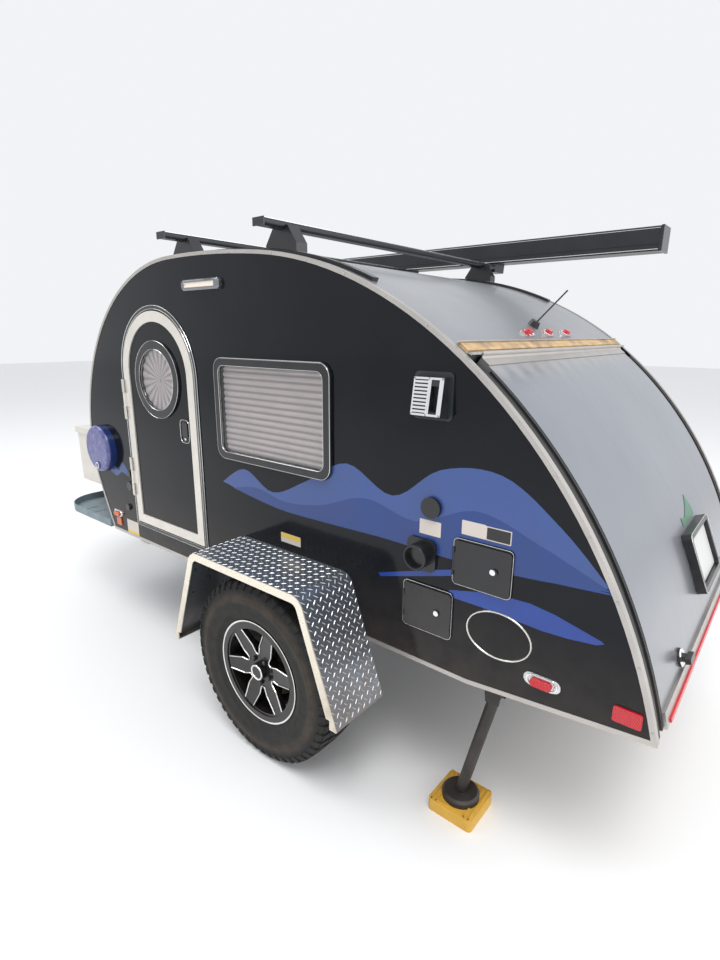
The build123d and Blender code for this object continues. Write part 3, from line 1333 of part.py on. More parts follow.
# Stabiliser legs on their pins, their feet and the levelling blocks
leg_foot_z = BLOCK_HIGH + REST_GAP + FOOT_HIGH
lean = atan2(LEG_FOOT_X - LEG_PIVOT[0], LEG_PIVOT[1] - leg_foot_z)
leg_long = hypot(LEG_FOOT_X - LEG_PIVOT[0], LEG_PIVOT[1] - leg_foot_z)
leg_plane = Plane(origin=(AXLE_X + LEG_PIVOT[0], LEG_Y, LEG_PIVOT[1]), x_dir=(0, 1, 0),
                  z_dir=(sin(lean), 0, -cos(lean)))
with BuildPart() as leg:
    with BuildSketch(leg_plane):
        Circle(LEG_R)
    extrude(amount=leg_long - 4)
    with BuildSketch(side(LEG_Y + LEG_BOSS / 2)):
        with Locations(LEG_PIVOT):
            Circle(22)
    extrude(amount=LEG_BOSS)
    with BuildSketch(side(LEG_Y + LEG_BOSS / 2 + 1)):
        with Locations(LEG_PIVOT):
            Circle(LEG_PIN_R + PIN_PLAY)
    extrude(amount=LEG_BOSS + 2, mode=Mode.SUBTRACT)
    with BuildSketch(deck(BLOCK_HIGH + REST_GAP + FOOT_HIGH)):
        with Locations((LEG_FOOT_X, LEG_Y)):
            Rectangle(200, 200)
    extrude(amount=-60, mode=Mode.SUBTRACT)

with BuildPart() as foot:
    with BuildSketch(deck(BLOCK_HIGH + REST_GAP)):
        with Locations((LEG_FOOT_X, LEG_Y)):
            Circle(FOOT_R)
    extrude(amount=FOOT_HIGH)
    chamfer(foot.faces().sort_by(Axis.Z)[-1].edges(), 8)
write_sides(Part() + [leg.part, foot.part], "stabiliser_left", "stabiliser_right")

with BuildPart() as block:
    with BuildSketch(deck(0)):
        with Locations((LEG_FOOT_X, LEG_Y)):
            RectangleRounded(BLOCK_SIDE, BLOCK_SIDE, 14)
    extrude(amount=BLOCK_HIGH)
    with BuildSketch(deck(0)):
        with Locations((LEG_FOOT_X, LEG_Y)):
            with GridLocations(38, 38, 4, 4):
                RectangleRounded(31, 31, 5)
    extrude(amount=30, mode=Mode.SUBTRACT)
write(pair(block.part), "levelling_blocks")
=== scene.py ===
import bpy
import bmesh
from math import atan2, cos, hypot, pi, radians, sin, tan
from mathutils import Matrix, Vector


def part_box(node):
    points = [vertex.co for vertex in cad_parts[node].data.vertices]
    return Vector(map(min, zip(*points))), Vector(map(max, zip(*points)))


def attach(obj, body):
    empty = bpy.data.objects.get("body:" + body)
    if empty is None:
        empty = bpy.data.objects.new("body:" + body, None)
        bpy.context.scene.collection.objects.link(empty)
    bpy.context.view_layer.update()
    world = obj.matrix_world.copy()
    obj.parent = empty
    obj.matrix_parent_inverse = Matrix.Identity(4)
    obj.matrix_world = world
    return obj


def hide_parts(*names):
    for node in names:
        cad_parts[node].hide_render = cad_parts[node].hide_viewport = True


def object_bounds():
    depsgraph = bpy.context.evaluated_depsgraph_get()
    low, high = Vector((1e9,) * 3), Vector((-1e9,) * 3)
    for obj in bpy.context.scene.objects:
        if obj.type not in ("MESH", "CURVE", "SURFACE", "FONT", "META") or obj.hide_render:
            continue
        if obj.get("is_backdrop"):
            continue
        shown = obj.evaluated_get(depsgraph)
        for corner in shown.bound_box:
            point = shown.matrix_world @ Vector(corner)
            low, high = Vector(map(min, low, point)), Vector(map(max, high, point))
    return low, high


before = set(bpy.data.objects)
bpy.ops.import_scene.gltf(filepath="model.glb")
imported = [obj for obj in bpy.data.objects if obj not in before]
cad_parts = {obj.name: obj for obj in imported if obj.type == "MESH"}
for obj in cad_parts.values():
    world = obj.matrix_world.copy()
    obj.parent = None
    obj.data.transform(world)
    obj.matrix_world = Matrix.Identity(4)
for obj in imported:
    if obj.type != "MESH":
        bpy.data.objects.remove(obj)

low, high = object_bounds()
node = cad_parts

# Side walls and door leaves
# Two sheets of plywood faced with glossy charcoal aluminium, cut for a door and a window.
# They are glued and screwed to the floor and the roof; road dust lies low on them.


class Field:
    """A value over a surface: sums and products of these become math nodes."""

    def __init__(self, tree, socket):
        self.tree = tree
        self.socket = socket

    def join(self, kind, *values, out=0, **settings):
        """Any other node, fed with these values in the order of its inputs."""
        made = self.tree.nodes.new(kind)
        for key, setting in settings.items():
            setattr(made, key, setting)
        for slot, value in enumerate(values):
            if isinstance(value, Field):
                self.tree.links.new(value.socket, made.inputs[slot])
            elif value is not None:
                made.inputs[slot].default_value = value
        return Field(self.tree, made.outputs[out])

    def math(operation):
        """An operator that makes a math node of both sides."""
        return lambda self, other=None: self.join("ShaderNodeMath", self, other, operation=operation)

    __add__, __sub__, __mul__, __pow__ = math("ADD"), math("SUBTRACT"), math("MULTIPLY"), math("POWER")
    sine, cosine, turn_from = math("SINE"), math("COSINE"), math("ARCTAN2")

    def __rsub__(self, other):
        return self.join("ShaderNodeMath", other, self, operation="SUBTRACT")

    def away(self):
        """Distance from zero."""
        return (self ** 2) ** 0.5

    def above(self, edge, soft=0.02):
        """1 above the edge, 0 below it, with a soft step."""
        return self.join("ShaderNodeMapRange", self, edge - soft, edge + soft, 0, 1)

    def wave(self, pitch):
        """A ridge that repeats at this pitch, from 0 to 1."""
        return (self * (2 * pi / pitch)).sine() * 0.5 + 0.5


def noise(place, scale, detail=3, rough=0.55):
    """Cloudy pattern from 0 to 1; the scale is in lumps for each metre."""
    return place.join("ShaderNodeTexNoise", place, None, scale, detail, rough)


def tint(amount, *colours):
    """Blend of two colours, either of which may be a field."""
    ready = [c if isinstance(c, Field) else (*c, 1) for c in colours]
    other_kinds = [None] * 5
    return amount.join("ShaderNodeMix", amount, *other_kinds, *ready, out=2, data_type="RGBA")


class Finish:
    """One material: its shader, its plain roughness, and the place that its patterns follow."""

    def __init__(self, name, rough=0.5, metal=0, colour=(0.5, 0.5, 0.5), **plain):
        self.made = bpy.data.materials.new(name)
        self.made.use_nodes = True
        tree = self.made.node_tree
        self.shader = tree.nodes["Principled BSDF"]
        self.rough = rough
        self.place = Field(tree, tree.nodes.new("ShaderNodeTexCoord").outputs["Object"])
        split = self.place.join("ShaderNodeSeparateXYZ", self.place).socket.node
        self.x, self.y, self.z = (Field(tree, s) for s in split.outputs)
        plain |= {"Base Color": (*colour, 1), "Roughness": rough, "Metallic": metal}
        for name, value in plain.items():
            self.shader.inputs[name.replace("_", " ")].default_value = value

    def set(self, name, value):
        """Feed an input of the shader with a field."""
        value.tree.links.new(value.socket, self.shader.inputs[name])

    def paint(self, amount, first, second):
        """Colour that goes from the first to the second with this amount."""
        self.set("Base Color", tint(amount, first, second))

    def bump(self, height, depth, strength=1):
        """Relief this deep, in metres."""
        self.set("Normal", height.join("ShaderNodeBump", strength, depth, None, height))

    def patchy(self, scale, spread, detail=3):
        """Roughness that drifts over the surface, up from the plain one."""
        self.set("Roughness", noise(self.place, scale, detail) * spread + self.rough)
        return self

    def worn(self, colour, second, spread, scale, grain, depth, dusty=0):
        """Colour and roughness that drift over the surface, fine grain, dust low down."""
        cloud = noise(self.place, scale)
        fine = noise(self.place, grain, 2)
        shade = tint(cloud.above(0.5, 0.25), colour, second)
        if dusty:
            dust = (0.85 - self.z).above(0.28, 0.3) * noise(self.place, 14, 5) * dusty
            shade = tint(dust, shade, (0.42, 0.33, 0.25))
        self.set("Base Color", shade)
        self.set("Roughness", cloud * spread + fine * (spread * 0.4) + (self.rough - spread * 0.6))
        if depth:
            self.bump(fine, depth)


def dress(finish, *names):
    """Put a finish on these CAD nodes."""
    for name in names:
        for slot in node[name].material_slots:
            slot.material = finish.made


charcoal = Finish("glossy_charcoal_sheet", 0.11, Coat_Weight=0.08, Coat_Roughness=0.04,
                  Specular_IOR_Level=0.2)
charcoal.worn((0.0035, 0.0045, 0.007), (0.007, 0.0075, 0.01), 0.05, 4, 30, 0, 0.22)
charcoal.bump(noise(charcoal.place, 4, 1), 0.003, 0.5)
dress(charcoal, "side_wall_left", "side_wall_right", "door_left_leaf", "door_right_leaf")

# Decals on the walls
# Cut vinyl film laid on the charcoal sheet: a band of rolling hills in three blues and two plain
# tapering stripes that run back to the trim. The other wall has the same.
SIDES = (("left", 1), ("right", -1))
AXLE_X = -0.75
BODY_HALF = 0.78
FILM = 0.3
CURVE_STEPS = 6


def wall_place(flip):
    """Turns millimetres (ahead of the axle, over the ground, out of the wall) into a point."""
    return lambda along, up, out: (AXLE_X + along / 1000, flip * (BODY_HALF + out / 1000), up / 1000)


def raw_piece(name, points, faces):
    """A bare mesh object from points and faces."""
    mesh = bpy.data.meshes.new(name)
    mesh.from_pydata(points, [], faces)
    return linked(name, mesh)


def linked(name, data):
    """An object with this data, in the scene."""
    made = bpy.data.objects.new(name, data)
    bpy.context.collection.objects.link(made)
    return made


def add_piece(name, points, faces, finish, body="trailer", *replaced):
    """A closed mesh piece that rides on a body and may stand for CAD nodes."""
    piece = raw_piece(name, points, faces)
    mesh = piece.data
    mesh.validate()
    made = bmesh.new()
    made.from_mesh(mesh)
    bmesh.ops.remove_doubles(made, verts=made.verts, dist=1e-6)
    bmesh.ops.recalc_face_normals(made, faces=made.faces)
    made.to_mesh(mesh)
    made.free()
    return dressed(piece, finish, body, *replaced)


def dressed(piece, finish, body, *replaced):
    """This piece with its finish, riding on its body."""
    piece.data.materials.append(finish.made)
    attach(piece, body)
    if replaced:
        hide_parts(*replaced)
    return piece


def strip_mesh(rows, closed_rows=False, closed_columns=False):
    """Points and faces of a grid given row by row."""
    high, wide = len(rows), len(rows[0])
    faces = []
    for i in range(high - (not closed_rows)):
        for k in range(wide - (not closed_columns)):
            here, over, beside = i * wide, (i + 1) % high * wide, (k + 1) % wide
            faces.append((here + k, here + beside, over + beside, over + k))
    return [point for row in rows for point in row], faces


def flat_piece(name, outlines, place, lift, thick, finish, body="trailer"):
    """Thin plates from closed outlines, laid by the place rule at this lift."""
    points, faces = [], []
    for rows in outlines:
        start, count = len(points), len(rows)
        made = bmesh.new()
        ring = [made.verts.new((a, b, 0)) for a, b in rows]
        edges = [made.edges.new((ring[i], ring[(i + 1) % count])) for i in range(count)]
        bmesh.ops.triangle_fill(made, edges=edges, use_beauty=True, normal=(0, 0, 1))
        made.verts.index_update()
        fill = [[v.index for v in face.verts] for face in made.faces]
        made.free()
        rings, rim = strip_mesh([[place(a, b, out) for a, b in rows] for out in (lift, lift + thick)],
                                closed_columns=True)
        points += rings
        fill = [face[::-1] for face in fill] + [[count + i for i in face] for face in fill]
        faces += [tuple(start + i for i in face) for face in fill + rim]
    return add_piece(name, points, faces, finish, body)


def smooth(rows):
    """Open curve through the given points, each run of it in short steps."""
    found = []
    ends = [rows[0], *rows, rows[-1]]
    for a, b, c, d in zip(ends, ends[1:], ends[2:], ends[3:]):
        for t in (k / CURVE_STEPS for k in range(CURVE_STEPS)):
            found.append(tuple(0.5 * (2 * b[j] + (c[j] - a[j]) * t
                                      + (2 * a[j] - 5 * b[j] + 4 * c[j] - d[j]) * t * t
                                      + (3 * b[j] - a[j] - 3 * c[j] + d[j]) * t ** 3)
                               for j in (0, 1)))
    found.append(rows[-1])
    return found


HILL_BANDS = [
    # name, colour, crest points (x, z), foot points (x, z)
    ("far_hills", (0.035, 0.08, 0.27),
     [(395, 1000), (250, 1075), (90, 1010), (-90, 1085), (-280, 1180), (-470, 1105), (-640, 1215),
      (-830, 1230), (-1000, 1120), (-1133.5, 992)],
     [(-1133.5, 992), (-1000, 990), (-640, 1000), (-400, 1000), (-150, 975), (120, 960), (395, 1000)]),
    ("near_hills", (0.008, 0.042, 0.2),
     [(330, 985), (180, 1010), (20, 985), (-160, 1010), (-360, 1075), (-560, 1040), (-760, 1115),
      (-950, 1060), (-1137.5, 985)],
     [(-1137.5, 985), (-930, 960), (-700, 950), (-450, 955), (-200, 950), (60, 950), (330, 985)]),
    ("front_hills", (0.012, 0.05, 0.22),
     [(1360, 890), (1320, 930), (1275, 905), (1230, 955), (1165, 900)],
     [(1165, 880), (1240, 900), (1300, 872), (1360, 890)]),
]
STRIPES = [
    # upper edge from the front, then lower edge back
    [(-420, 828), (-650, 905), (-879, 972), (-1139, 982), (-1141, 978), (-879, 958), (-650, 884),
     (-430, 818)],
    [(-688, 850), (-780, 873), (-860, 886), (-939, 889), (-1008, 879), (-1073, 862), (-1127, 848),
     (-1137, 842), (-1117, 832), (-1046, 823), (-980, 820), (-898, 824), (-797, 829), (-688, 829)],
]
films = []
for name, colour, crest, foot in HILL_BANDS:
    film = Finish("film_" + name, 0.2, Coat_Weight=0.1, Coat_Roughness=0.06)
    film.worn(colour, tuple(0.8 * c + 0.01 for c in colour), 0.07, 5, 80, 0)
    films.append(film)
stripe_film = Finish("film_stripe", 0.2, Coat_Weight=0.25, Coat_Roughness=0.06)
stripe_film.worn((0.004, 0.045, 0.28), (0.008, 0.035, 0.22), 0.07, 5, 80, 0)
badge_edge = Finish("badge_edge", 0.2, 0.9, (0.72, 0.71, 0.66)).patchy(50, 0.14)
for side, flip in SIDES:
    for (name, colour, crest, foot), film in zip(HILL_BANDS, films):
        lift = 0.1 + FILM if name == "near_hills" else 0.1
        flat_piece(f"decal_{name}_{side}", [smooth(crest) + smooth(foot)[1:-1]], wall_place(flip), lift,
                   FILM, film)
    flat_piece(f"decal_stripes_{side}", STRIPES, wall_place(flip), 0.3, FILM, stripe_film)

# Roof, nose and hatch skin
# One sheet of silver-painted aluminium bent over the walls, and a second one on the hatch.
# Below the open hinge the hatch is painted paler in scallops: partly dust run down from the hinge, partly
# painted light and shadow of the notched lip above. The hatch sheet is painted a darker silver than the roof
# as painted shade, and both sheets wave over the ribs behind.
silver = Finish("silver_painted_sheet", 0.34, 0.6, Coat_Weight=0.3, Coat_Roughness=0.15)
silver.worn((0.3, 0.315, 0.34), (0.25, 0.265, 0.29), 0.12, 2.5, 90, 0, 0.2)
silver.bump(noise(silver.place, 3, 1), 0.003, 0.35)
dress(silver, "roof_panel")
HINGE_Z = 1.5446
hatch_silver = Finish("hatch_sheet", 0.32, 0.55, Coat_Weight=0.3, Coat_Roughness=0.15)
cloud = noise(hatch_silver.place, 2.5)
fall = (HINGE_Z - hatch_silver.z) * 9
scallop = hatch_silver.y.wave(0.105) * 0.28 + noise(hatch_silver.place, 16, 4) * 0.5
# Painted light and dust: paler scallops under the hinge.
dust_and_notch_light_scallops = (scallop + 0.12 - fall).above(0, 0.16) * 0.6
stretched = hatch_silver.place.join("ShaderNodeMapping", hatch_silver.place, None, None, (3, 34, 1.5))
streaks = noise(stretched, 1, 4)
low_dust = (0.95 - hatch_silver.z).above(0.1, 0.35) * streaks * 0.4
# Painted shade: the hatch's silver is a darker copy of the roof's silver.
paint = tint(cloud.above(0.5, 0.3), (0.26, 0.28, 0.315), (0.215, 0.235, 0.27))
hatch_silver.paint(low_dust, tint(dust_and_notch_light_scallops, paint, (0.42, 0.4, 0.38)), (0.42, 0.36, 0.29))
hatch_silver.set("Roughness", dust_and_notch_light_scallops * 0.3 + streaks * 0.12 + 0.24)
hatch_silver.bump(noise(hatch_silver.place, 3, 1), 0.003, 0.35)
dress(hatch_silver, "hatch_panel")

# Bright extrusions
# Satin aluminium edge trim round each wall, the door bands and the rails of the hatch.
# They are screwed on through their faces; the hinge half on the hatch is ribbed.
satin = Finish("satin_aluminium", 0.36, 0.85)
satin.worn((0.54, 0.51, 0.48), (0.45, 0.43, 0.41), 0.14, 9, 300, 0.0001, 0.2)
dress(satin, "edge_trims", "hatch_rails")
ribbed = Finish("ribbed_hinge", 0.38, 0.85)
ribbed.worn((0.58, 0.57, 0.54), (0.46, 0.45, 0.42), 0.14, 20, 300, 0, 0.2)
ribbed.bump((ribbed.x + ribbed.z).wave(0.006), 0.0012)
dress(ribbed, "hatch_hinge_rail")
band_metal = Finish("door_band_metal", 0.34, 0.55)
band_metal.worn((0.78, 0.74, 0.68), (0.68, 0.645, 0.59), 0.1, 12, 400, 0.0001, 0.15)
dress(band_metal, "door_left_band", "door_right_band")
# Bright metal for real bright parts, such as the door locks and the plate holder's frame, and for thin
# bright lines that are painted highlights along the edges of black frames, rings, bars and the awning case.
bright_metal_and_highlight = Finish("bright_metal_and_edge_highlight", 0.14, 0.95, (0.78, 0.78, 0.76)).patchy(70, 0.14)


def circle(count):
    """Angles of this many equal steps round a circle."""
    return [2 * pi * i / count for i in range(count)]


def wire(name, path, radius, finish, body="trailer", closed=False, sides=6):
    """Round bar swept along points given in metres."""
    rows = []
    count = len(path)
    ends = [path[-1], *path, path[0]] if closed else [path[0], *path, path[-1]]
    for before, point, after in zip(ends, ends[1:], ends[2:]):
        ahead = (Vector(after) - Vector(before)).normalized()
        aside = ahead.cross(Vector((0, 1, 0)))
        if aside.length < 0.2:
            aside = ahead.cross(Vector((1, 0, 0)))
        aside.normalize()
        over = aside.cross(ahead)
        rows.append([tuple(Vector(point) + (aside * cos(turn) + over * sin(turn)) * radius)
                     for turn in circle(sides)])
    points, faces = strip_mesh(rows, closed_rows=closed, closed_columns=True)
    if not closed:
        faces.append(tuple(range(sides)))
        faces.append(tuple(range((count - 1) * sides, count * sides))[::-1])
    return add_piece(name, points, faces, finish, body)


def outline(name, rows, place, out, radius, finish, body="trailer", sides=6):
    """Closed bar along an outline that the place rule lays on a surface, this far out of it."""
    wire(name, [place(a, b, out) for a, b in rows], radius, finish, body, True, sides)


DOOR_X, DOOR_HALF, DOOR_LOW, DOOR_ARCH = 828.5, 277.5, 669, 1410


def arch(grow):
    """Outline of the door, larger all round by this much."""
    reach = DOOR_HALF + grow
    rows = [(DOOR_X - reach, DOOR_LOW - grow), (DOOR_X + reach, DOOR_LOW - grow)]
    return rows + [(DOOR_X + reach * cos(pi * i / 32), DOOR_ARCH + reach * sin(pi * i / 32))
                   for i in range(33)]


frame_black = Finish("door_frame_black", 0.16, Coat_Weight=0.3).patchy(12, 0.12)
knuckle = frame_black.y.away().above(BODY_HALF + 0.0036, 0.0003)
frame_black.paint(knuckle, (0.012, 0.013, 0.015), (0.66, 0.63, 0.58))
frame_black.set("Metallic", knuckle * 0.7)
dress(frame_black, "door_frames")
# Two bright lines round each door are painted highlights along the edges of its black frame.
for side, flip in SIDES:
    for grow in (7.5, 22.5):
        outline(f"door_line_{side}_{grow:.0f}", arch(grow), wall_place(flip), 2.9, 0.0013, bright_metal_and_highlight)

# Bare strip of the hatch hinge
# Spruce batten that shows where the hinge cover is gone, with grain along it and grey stains.
batten = Finish("bare_spruce", 0.75)
grain = noise(batten.place.join("ShaderNodeMapping", batten.place, None, None, (150, 7, 150)), 1, 5)
stain = noise(batten.place, 11, 4)
spruce = tint(grain.above(0.5, 0.2), (0.44, 0.28, 0.13), (0.62, 0.44, 0.24))
batten.paint(stain.above(0.58, 0.1), spruce, (0.26, 0.19, 0.13))
batten.set("Roughness", grain * 0.2 + 0.62)
batten.bump(grain, 0.0008)
dress(batten, "hinge_wood_strip")

# Seals and moulded black parts
# Rubber jambs beside the hatch and black plastic window frames, rings, handles and feet.
rubber = Finish("seal_rubber", 0.55)
rubber.worn((0.008, 0.008, 0.009), (0.022, 0.021, 0.02), 0.2, 12, 260, 0.0003, 0.4)
dress(rubber, "hatch_jambs")
moulded = Finish("black_moulding", 0.28, Coat_Weight=0.15)
moulded.worn((0.007, 0.007, 0.009), (0.014, 0.014, 0.016), 0.12, 10, 600, 0.0001, 0.25)
dress(moulded, "window_frames", "door_left_fittings", "door_right_fittings", "access_frames",
      "access_door_a", "access_door_b", "rack_feet", "antenna", "hatch_fittings", "roof_tracks",
      "wall_sockets")


def rounded(centre_a, centre_b, wide, high, corner, steps=6):
    """Closed outline of a rectangle with round corners."""
    rows = []
    for quarter, (sa, sb) in enumerate(((1, 1), (-1, 1), (-1, -1), (1, -1))):
        for i in range(steps + 1):
            angle = pi / 2 * (quarter + i / steps)
            rows.append((centre_a + sa * (wide / 2 - corner) + corner * cos(angle),
                         centre_b + sb * (high / 2 - corner) + corner * sin(angle)))
    return rows


WINDOW_X, WINDOW_Z, WINDOW_WIDE, WINDOW_HIGH = 91, 1305, 618, 402
WINDOW_HIGHLIGHTS = [
    # smaller than the frame all round, corner, out of the wall
    (2.4, 46, 12),
    (30.5, 30, 13.4),
]
# Bright lines round each window frame are painted highlights along its edges.
for side, flip in SIDES:
    for inset, corner, out in WINDOW_HIGHLIGHTS:
        rows = rounded(WINDOW_X, WINDOW_Z, WINDOW_WIDE - 2 * inset, WINDOW_HIGH - 2 * inset, corner)
        outline(f"window_line_{side}_{inset:.0f}", rows, wall_place(flip), out, 0.0011, bright_metal_and_highlight)

# Window panes and porthole glass
# Acrylic sheets with a grey tint, clipped into the frames.
acrylic = Finish("tinted_acrylic", 0.005, 0, (0.96, 0.965, 0.97), IOR=1.4, Transmission_Weight=1)
acrylic.patchy(8, 0.05)
dress(acrylic, "window_panes", "door_left_glass", "door_right_glass")

# Pleated shades
# Folded pale cloth drawn shut in the windows, and round fans of it in the portholes; the backs of the pleats
# are painted darker as painted shade.
PLEAT = 0.0235
SHADE_OUT = 0.76
FOLD = 0.005
CLOTH = 0.0012
shade_low, shade_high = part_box("window_shades")
shade_run, shade_rise = shade_high[0] - shade_low[0], shade_high[2] - shade_low[2]
count = int(shade_rise / PLEAT) * 2


def creased(name, turns):
    """Pale cloth with painted shade at the back of each pleat, one pleat for each turn of this field."""
    made = Finish(name, 0.85)
    # Painted shade: the cloth is darker where each pleat turns back.
    fold_shade = (turns(made) * (2 * pi)).cosine().above(0.35, 0.55)
    light = tint(noise(made.place, 9).above(0.5, 0.25), (0.74, 0.66, 0.64), (0.64, 0.58, 0.575))
    made.paint(fold_shade, light, (0.4, 0.345, 0.345))
    made.bump(noise(made.place, 900, 2), 0.0002)
    return made


cloth = creased("pleated_cloth", lambda made: (made.z - shade_low[2]) * (count / 2 / shade_rise))
for side, flip in SIDES:
    up_and_down = [(i, 0) for i in range(count + 1)] + [(i, 1) for i in range(count, -1, -1)]
    rows = [[(shade_low[0] + shade_run * k / 2, flip * (SHADE_OUT + (FOLD if i % 2 else 0) + CLOTH * face),
              shade_low[2] + shade_rise * i / count) for k in range(3)] for i, face in up_and_down]
    points, faces = strip_mesh(rows, closed_rows=True)
    for k in (0, 2):
        for i in range(count):
            j = len(rows) - 1 - i
            faces.append((i * 3 + k, (i + 1) * 3 + k, (j - 1) * 3 + k, j * 3 + k))
    add_piece("pleated_blind_" + side, points, faces, cloth, "trailer", "window_shades")


def basis(ahead):
    """Two directions square to this one."""
    ahead = Vector(ahead).normalized()
    first = ahead.cross(Vector((0, 0, 1)) if abs(ahead.z) < 0.9 else Vector((1, 0, 0))).normalized()
    return first, ahead.cross(first)


def lathe(name, profile, centre, axis, finish, body="trailer", *, steps):
    """Closed ring or cap turned round an axis from (radius, height) rows."""
    first, second = basis(axis)
    rows = []
    for angle in circle(steps):
        out = first * cos(angle) + second * sin(angle)
        rows.append([tuple(Vector(centre) + out * radius + Vector(axis).normalized() * height)
                     for radius, height in profile])
    points, faces = strip_mesh(rows, closed_rows=True, closed_columns=True)
    return add_piece(name, points, faces, finish, body)


FOLDS = 20
FAN_BACK = 0.002
HANDLE_X, HANDLE_Z, LOCK_Z = 638, 1182, 1148
fan_x, _, fan_z = [(a + b) / 2 for a, b in zip(*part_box("door_left_shade"))]
fan_cloth = creased("fan_cloth",
                    lambda made: (made.z - fan_z).turn_from(made.x - fan_x) * (FOLDS / 2 / pi))
for side, flip in SIDES:
    door = "door_" + side
    ring_low, ring_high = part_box(door + "_shade")
    centre = [(a + b) / 2 for a, b in zip(ring_low, ring_high)]
    reach = (ring_high[0] - ring_low[0]) / 2
    outward = (0.006, reach * 0.5, reach)
    rows = []
    for i, angle in enumerate(circle(2 * FOLDS)):
        lift = FOLD if i % 2 else 0
        rows.append([(centre[0] + r * cos(angle), centre[1] + flip * (lift * r / reach + shift - FAN_BACK),
                      centre[2] + r * sin(angle))
                     for shift, radii in ((CLOTH, outward), (0, outward[::-1])) for r in radii])
    points, faces = strip_mesh(rows, closed_rows=True, closed_columns=True)
    add_piece("pleated_fan_" + side, points, faces, fan_cloth, door, door + "_shade")
    lathe("fan_button_" + side, [(0.0001, 0.006), (0.008, 0.005), (0.01, 0.001), (0.0001, 0.001)], centre,
          (0, flip, 0), fan_cloth, door, steps=20)
    # Two bright rings on each black porthole ring are painted highlights along its edges.
    for radius, height in ((0.1707, 0.0093), (0.1345, 0.0102)):
        lathe(f"porthole_line_{side}_{radius * 1000:.0f}",
              [(radius - 0.0008, height), (radius, height + 0.0009), (radius + 0.0008, height),
               (radius, height - 0.0009)], (centre[0], flip * BODY_HALF, centre[2]), (0, flip, 0),
              bright_metal_and_highlight, door, steps=72)
    # The bright outline round the handle recess is a painted highlight; the lock below it is real bright
    # metal.
    outline("handle_line_" + side, rounded(HANDLE_X, HANDLE_Z, 66, 102, 24), wall_place(flip), 5.1, 0.001,
            bright_metal_and_highlight, door)
    lathe("handle_lock_" + side, [(0.0001, 0.0068), (0.0052, 0.0066), (0.0062, 0.0048), (0.0001, 0.0048)],
          wall_place(flip)(HANDLE_X, LOCK_Z, 0), (0, flip, 0), bright_metal_and_highlight, door, steps=20)

# Wheels
# Black alloy rims with machined edges, five nuts and a plain cap, in all-terrain tyres.
# Five studs hold each rim to its brake drum.
rim_paint = Finish("rim_black", 0.2, 0, Coat_Weight=0.15)
rim_paint.worn((0.004, 0.004, 0.005), (0.01, 0.009, 0.009), 0.08, 20, 300, 0, 0.02)
dress(rim_paint, "rim_left", "rim_right")
machined = Finish("machined_edge", 0.16, 0.95, (0.86, 0.85, 0.82)).patchy(60, 0.12)
tyre_rubber = Finish("tyre_rubber", 0.78)
tyre_rubber.worn((0.01, 0.01, 0.01), (0.02, 0.019, 0.018), 0.14, 16, 500, 0.0003)
WHEEL_Z = 0.362
TRACK_Y = 0.888
reach = ((tyre_rubber.x - AXLE_X) ** 2 + (tyre_rubber.z - WHEEL_Z) ** 2) ** 0.5
muddy = (reach.above(0.283, 0.012) * (0.312 - reach).above(0, 0.01)
         * noise(tyre_rubber.place, 26, 5).above(0.42, 0.2) * 0.6)
clean = tint(noise(tyre_rubber.place, 40).above(0.55, 0.3), (0.01, 0.01, 0.01), (0.026, 0.023, 0.02))
tyre_rubber.paint(muddy, clean, (0.085, 0.062, 0.042))
LUGS = 52


def capped(name, rows):
    """Block for copies: rings of points, closed at both ends."""
    points, faces = strip_mesh(rows, closed_columns=True)
    wide = len(rows[0])
    ends = [tuple(range(wide))[::-1], tuple(range(len(points) - wide, len(points)))]
    return raw_piece(name, points, ends + faces)


def tyre_lug(name, foot, root):
    """One tread block that narrows to its top, from foot rows (along, across) in metres."""
    return capped(name, [[(x, y, root) for x, y in foot], [(x * 0.9, y * 0.94, 0) for x, y in foot]])


def new_tree(name, **sockets):
    """A Geometry Nodes group with these inputs, and the inputs as fields."""
    tree = bpy.data.node_groups.new(name, "GeometryNodeTree")
    for label, kind in sockets.items():
        tree.interface.new_socket(label, in_out="INPUT", socket_type="NodeSocket" + kind)
    tree.interface.new_socket("Geometry", in_out="OUTPUT", socket_type="NodeSocketGeometry")
    return tree, [Field(tree, socket) for socket in tree.nodes.new("NodeGroupInput").outputs][:len(sockets)]


def shape_of(block):
    """The shape of an object that a tree copies, which is the fifth output of its node."""
    return block.join("GeometryNodeObjectInfo", block, out=4)


def finished(copies, finish):
    """The last nodes of a tree: its copies as one real mesh in this finish."""
    real = copies.join("GeometryNodeRealizeInstances", copies)
    last = real.join("GeometryNodeSetMaterial", real, None, finish)
    last.tree.links.new(last.socket, last.tree.nodes.new("NodeGroupOutput").inputs[0])


# Copies of a block set round a wheel: across it, turned by part of a step, leaning and skewed.
around, (block, number, radius, across, turn, lean, skew, finish) = new_tree(
    "blocks_round_a_wheel", Block="Object", Count="Int", Radius="Float", Across="Float", Turn="Float",
    Lean="Float", Skew="Float", Finish="Material")
line = number.join("GeometryNodeMeshLine", number, None, None, (0, 0, 0))
tread = across.join("ShaderNodeCombineXYZ", None, across, radius)
top = line.join("GeometryNodeSetPosition", line, None, tread)
copies = top.join("GeometryNodeInstanceOnPoints", top, None, shape_of(block))
leant = copies.join("GeometryNodeRotateInstances", copies, None,
                    lean.join("ShaderNodeCombineXYZ", lean, None, skew))
share = number.join("ShaderNodeMath", 2 * pi, number, operation="DIVIDE")
angle = (number.join("GeometryNodeInputIndex") + turn) * share
finished(leant.join("GeometryNodeRotateInstances", leant, None,
                    angle.join("ShaderNodeCombineXYZ", None, angle), None, False), finish)


